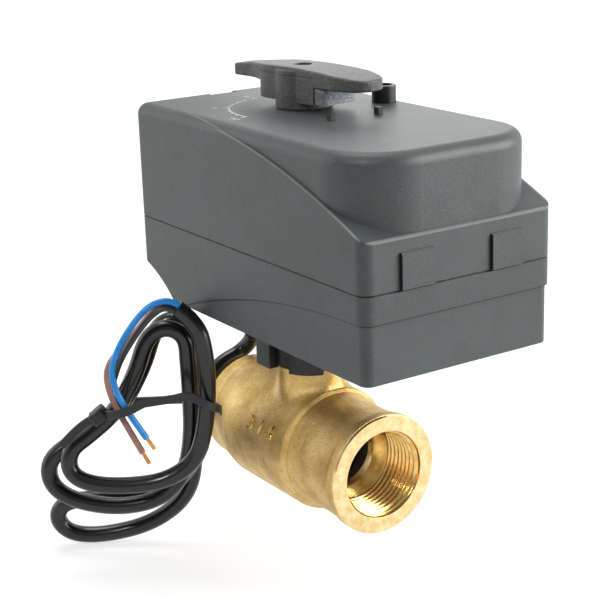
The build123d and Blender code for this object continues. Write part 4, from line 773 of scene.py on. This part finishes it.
# Pad ink: flat white, very slightly broken over the texture
pad_ink = finish_of("pad_printed_white_ink", ("#E4E8E7", "#F2F4F3"), 1.0, ((0.4, 0.01, 2.0),),
                    Roughness=0.55)
scale_parts = [ink_band(np.linspace(SCALE_FROM, SCALE_FROM + SCALE_SPAN, SCALE_STEPS),
                        (SCALE_R, SCALE_R + SCALE_LINE))]
for step in np.r_[np.arange(0, SCALE_SPAN + 1, TICK_STEP), float(FIGURE_STEP)]:
    reach = TICK_LONG if step % FIGURE_STEP == 0 else TICK_SHORT
    scale_parts.append(ink_band((SCALE_FROM + step,) * 2, (SCALE_R, SCALE_R + reach),
                                (-TICK_HALF, TICK_HALF)))
skin("scale_arc_and_ticks", scale_parts, pad_ink, "housing", sharp=30.0)
for step in (0, FIGURE_STEP, 2 * FIGURE_STEP):
    numeral = figures(f"scale_figure_{step}", str(step), FIGURE_SIZE, INK_THICK + INK_SINK, FIGURE_SPACING)
    flat = corners_of(numeral)
    turn = radians(SCALE_FROM + step)
    out = np.array((cos(turn), sin(turn), 0.0))
    beside = np.cross(UP, out)
    middle = SCALE_CENTRE + FIGURE_R * out + UP * (HOUSING_TOP + (INK_THICK - INK_SINK) / 2)
    lift = flat[:, 2] / np.abs(flat[:, 2]).max() * (INK_THICK + INK_SINK) / 2
    set_figures(f"scale_figure_{step}", numeral,
                middle + flat[:, :1] * beside - flat[:, 1:2] * out + lift[:, None] * UP, pad_ink)

# Gearbox: acetal wheels on steel pins between two plated plates, driven by a small synchronous motor.
# The output shaft goes through both and carries two cams for the end switches.
# Acetal: creamy white, waxy, lightly marked by the mould
acetal = finish_of("moulded_acetal", ("#DAD7CA", "#E8E5DA"), 3.0, ((0.6, 0.01, 2.0),), Roughness=0.38)
dress(acetal, "gear_1", "gear_2", "output_gear", "cam_lower", "cam_upper", "board_standoffs", "button_guide")
# Ground steel: bright, with fine lengthwise lines
ground_steel = finish_of("ground_steel", ("#A9ACAE", "#C3C6C8"), 2.0, ((0.15, 0.005, 2.0),), Metallic=1.0,
                         Roughness=0.22)
dress(ground_steel, "gear_axles", "output_shaft")
# Tin-plated can: soft grey with a cloudy gloss
motor_can = finish_of("tin_plated_can", ("#9DA1A3", "#B7BABB"), 5.0, ((1.5, 0.02, 3.0),), Metallic=1.0,
                      Roughness=0.36)
dress(motor_can, "motor")

# Electronics: a glass-epoxy board under green solder mask, with its parts soldered on.
# It stands on plastic posts in the housing, and a terminal block takes the three cores.
# Solder mask: green and glossy over the weave of the glass cloth
solder_mask = finish_of("green_solder_mask", ("#1C5A38", "#236B44"), 0.7, ((0.7, 0.02, 1.0),), Roughness=0.3)
dress(solder_mask, "circuit_board")
# Moulded epoxy: black and matt
epoxy = finish_of("moulded_black_epoxy", ("#1B1C1E", "#242528"), 1.5, ((0.3, 0.015, 2.0),), Roughness=0.5)
dress(epoxy, "board_components", "limit_switches")
# Polyamide: flat green, as terminal blocks are
green_polyamide = finish_of("green_polyamide", ("#2E7D4A", "#358A54"), 2.0, ((0.5, 0.01, 2.0),),
                            Roughness=0.45)
dress(green_polyamide, "terminal_block")

# Release button: a black post that lifts the motor's gear out of mesh.
# It slides in a plastic guide and stands on a coiled return spring, which is squeezed as it goes down.
# Glossy acetal: black, with a dished top that holds a little dust
button_acetal = finish_of("polished_black_acetal", ("#141517", "#1E1F21"), 1.2, ((0.5, 0.02, 2.0),),
                          Roughness=0.3)
dress(button_acetal, "release_button")
# Spring wire: dark drawn steel
spring_steel = finish_of("drawn_spring_steel", ("#7E8183", "#989B9D"), 1.0, ((0.2, 0.005, 2.0),),
                         Metallic=1.0, Roughness=0.3)
SPRING_WIRE, SPRING_TURNS = 0.6, 6
TURN_STEPS, WIRE_SIDES = 28, 10
spring_low, spring_high = (np.array(corner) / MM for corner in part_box("button_spring"))
spring_foot = np.array((*(spring_low + spring_high)[:2] / 2, spring_low[2]))
spring_height = spring_high[2] - spring_low[2]
wound = np.linspace(0, 2 * pi * SPRING_TURNS, SPRING_TURNS * TURN_STEPS + 1)
spring_r = (spring_high[0] - spring_low[0] - SPRING_WIRE) / 2
spring_rise = SPRING_WIRE / 2 + (spring_height - SPRING_WIRE) * wound / wound[-1]
spring_line = spring_foot + np.stack([spring_r * np.cos(wound), spring_r * np.sin(wound), spring_rise], 1)
spring_wire = tube_rings(spring_line, np.full(len(wound), SPRING_WIRE / 2), WIRE_SIDES)
spring = skin("button_return_spring", [spring_wire], spring_steel, "housing", ("button_spring",))
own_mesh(spring)

# Lever: one moulding of grey nylon with a coarse texture, screwed on the shaft's flat.
# A harder block under its nose meets the stop pips.
# Textured nylon: grey with an olive tinge, and glints on its coarse grain
lever_nylon = finish_of("coarse_textured_nylon", ("#3C3E3B", "#50524E"), 1.4,
                        ((0.6, 0.2, 3.0), (0.25, 0.06, 2.0)), Roughness=0.42)
# The mould parts just under the plate, and a fine dark line is painted along that seam round the hub and the
# web, as painted shade
SEAM_Z, SEAM_THICK, SEAM_REACH = 112.7, 0.3, 14.0
SHAFT_X = -36.0
tree = lever_nylon.node_tree
shader = tree.nodes["Principled BSDF"]
place = add(tree, "TexCoord").outputs["Object"]
upright = add(tree, "SeparateXYZ", {0: place}).outputs["Z"]
from_shaft = add(tree, "VectorMath", {0: place, 1: (-SHAFT_X * MM, 0, 0)}, operation="ADD").outputs[0]
level_part = add(tree, "VectorMath", {0: from_shaft, 1: (1, 1, 0)}, operation="MULTIPLY").outputs[0]
reach = add(tree, "VectorMath", {0: level_part}, operation="LENGTH").outputs["Value"]
# Painted shade: a thin dark line just under the plate, out to SEAM_REACH from the shaft
seam_shade_mask = add(tree, "Math", {0: within(tree, upright, SEAM_Z, SEAM_Z + SEAM_THICK, 0.06),
                          1: within(tree, reach, -BEYOND, SEAM_REACH, 1.0)}, operation="MULTIPLY").outputs[0]
shaded_tone = add(tree, "Mix", {"Factor": seam_shade_mask, MIX_A: shader.inputs["Base Color"].links[0].from_socket,
                           MIX_B: srgb("#0C0D0C")}, data_type="RGBA")
tree.links.new(shaded_tone.outputs[MIX_COLOUR], shader.inputs["Base Color"])
dress(lever_nylon, "lever")
# Stop block: blue-grey with pale specks of its mineral filling
stop_block = finish_of("mineral_filled_block", ("#4C5359", "#969DA4"), 0.5, ((0.5, 0.12, 3.0),),
                       Roughness=0.45)
dress(stop_block, "lever_insert")

# Floor: a plain pale table top of matt white paper, which keeps the object's shadow.
# To the camera, in mirrors and through glass it is lifted nearly to white.
FLOOR_DROP, FLOOR_SIZE = 0.0005, 6.0
FLOOR_LIFT = 0.67


def only_seen(tree):
    """1 for rays from the camera, in mirrors and through glass, and 0 for light that falls on things."""
    rays = add(tree, "LightPath")
    seen = add(tree, "Math", {0: rays.outputs["Is Camera Ray"], 1: rays.outputs["Is Glossy Ray"]},
               operation="ADD")
    return add(tree, "Math", {0: seen.outputs[0], 1: rays.outputs["Is Transmission Ray"]},
               operation="ADD", use_clamp=True).outputs[0]


floor_mesh = bpy.data.meshes.new("floor")
low = float(cad_box[0].z) - FLOOR_DROP
half = FLOOR_SIZE / 2
floor_mesh.from_pydata([(-half, -half, low), (half, -half, low), (half, half, low), (-half, half, low)], [],
                       [(0, 1, 2, 3)])
floor = bpy.data.objects.new("floor", floor_mesh)
bpy.context.scene.collection.objects.link(floor)
# White studio paper: matt, with no texture of its own
paper, tree, matt = blank_finish("white_studio_paper")
matt.inputs["Base Color"].default_value = srgb("#AFAFAF")
matt.inputs["Roughness"].default_value = 0.9
lift = add(tree, "Emission", {"Color": (1, 1, 1, 1)})
lift_part = add(tree, "Math", {0: only_seen(tree), 1: FLOOR_LIFT}, operation="MULTIPLY")
tree.links.new(lift_part.outputs[0], lift.inputs["Strength"])
both = add(tree, "AddShader", {0: matt.outputs[0], 1: lift.outputs[0]})
tree.links.new(both.outputs[0], tree.nodes["Material Output"].inputs["Surface"])
floor_mesh.materials.append(paper)

# Light: large soft lamps on both sides and above, a smaller one for glints, and a soft box at the back.
# The world is white to the camera. In mirrors it is white too, but darker on the camera's side, where
# the room is, and it gives little light of its own.
SKY_LIGHT = 0.15
ROOM_LEVEL, ROOM_FROM, ROOM_FULL = 0.35, 0.15, 0.8
# Each lamp: where its light comes from, its width in degrees and its strength
LIGHTS = {
    "key": ((0.62, 0.74, 0.25), 50.0, 4.5),
    "fill": ((-0.75, -0.60, 0.27), 50.0, 0.5),
    "top": ((-0.30, 0.05, 0.90), 30.0, 1.1),
    "glint": ((0.33, -0.71, 0.62), 7.0, 1.0),
}
BOX_PLACE, BOX_AIM = np.array((-0.175, 0.145, 0.175)), np.array((0.025, 0.010, 0.103))
BOX_SIZE, BOX_POWER = 0.16, 0.075
world = bpy.data.worlds.new("studio")
world.use_nodes = True
bpy.context.scene.world = world
tree = world.node_tree
sky = add(tree, "TexCoord").outputs["Generated"]
to_room = add(tree, "VectorMath", {0: sky, 1: tuple(backwards)}, operation="DOT_PRODUCT").outputs["Value"]
room = add(tree, "MapRange", {"Value": to_room, "From Min": ROOM_FROM, "From Max": ROOM_FULL, "To Min": 1.0,
                              "To Max": ROOM_LEVEL})
rays = add(tree, "LightPath")
shown = add(tree, "Math", {0: rays.outputs["Is Camera Ray"], 1: room.outputs[0]}, operation="MAXIMUM")
sky_level = add(tree, "MapRange", {"Value": only_seen(tree), "To Min": SKY_LIGHT, "To Max": shown.outputs[0]})
tree.nodes["Background"].inputs["Color"].default_value = (1, 1, 1, 1)
tree.links.new(sky_level.outputs[0], tree.nodes["Background"].inputs["Strength"])


def facing(towards, place):
    """A lamp's matrix: its back, the local Z, points towards the direction that its light comes from."""
    back = np.array(towards) / np.linalg.norm(towards)
    side = np.cross(UP, back)
    side /= np.linalg.norm(side)
    return placed(side, np.cross(back, side), back, place)


for name, (towards, width, strength) in LIGHTS.items():
    lamp = bpy.data.lights.new(name, "SUN")
    lamp.angle, lamp.energy = radians(width), strength
    light = bpy.data.objects.new(name, lamp)
    light.matrix_world = facing(towards, towards)
    bpy.context.scene.collection.objects.link(light)
# The soft box stands at the back, a little above the housing, and its sheen lies on the hood's front end
box_lamp = bpy.data.lights.new("soft_box", "AREA")
box_lamp.shape, box_lamp.size, box_lamp.energy = "DISK", BOX_SIZE, BOX_POWER
soft_box = bpy.data.objects.new("soft_box", box_lamp)
soft_box.matrix_world = facing(BOX_PLACE - BOX_AIM, BOX_PLACE)
soft_box.visible_camera = False
bpy.context.scene.collection.objects.link(soft_box)
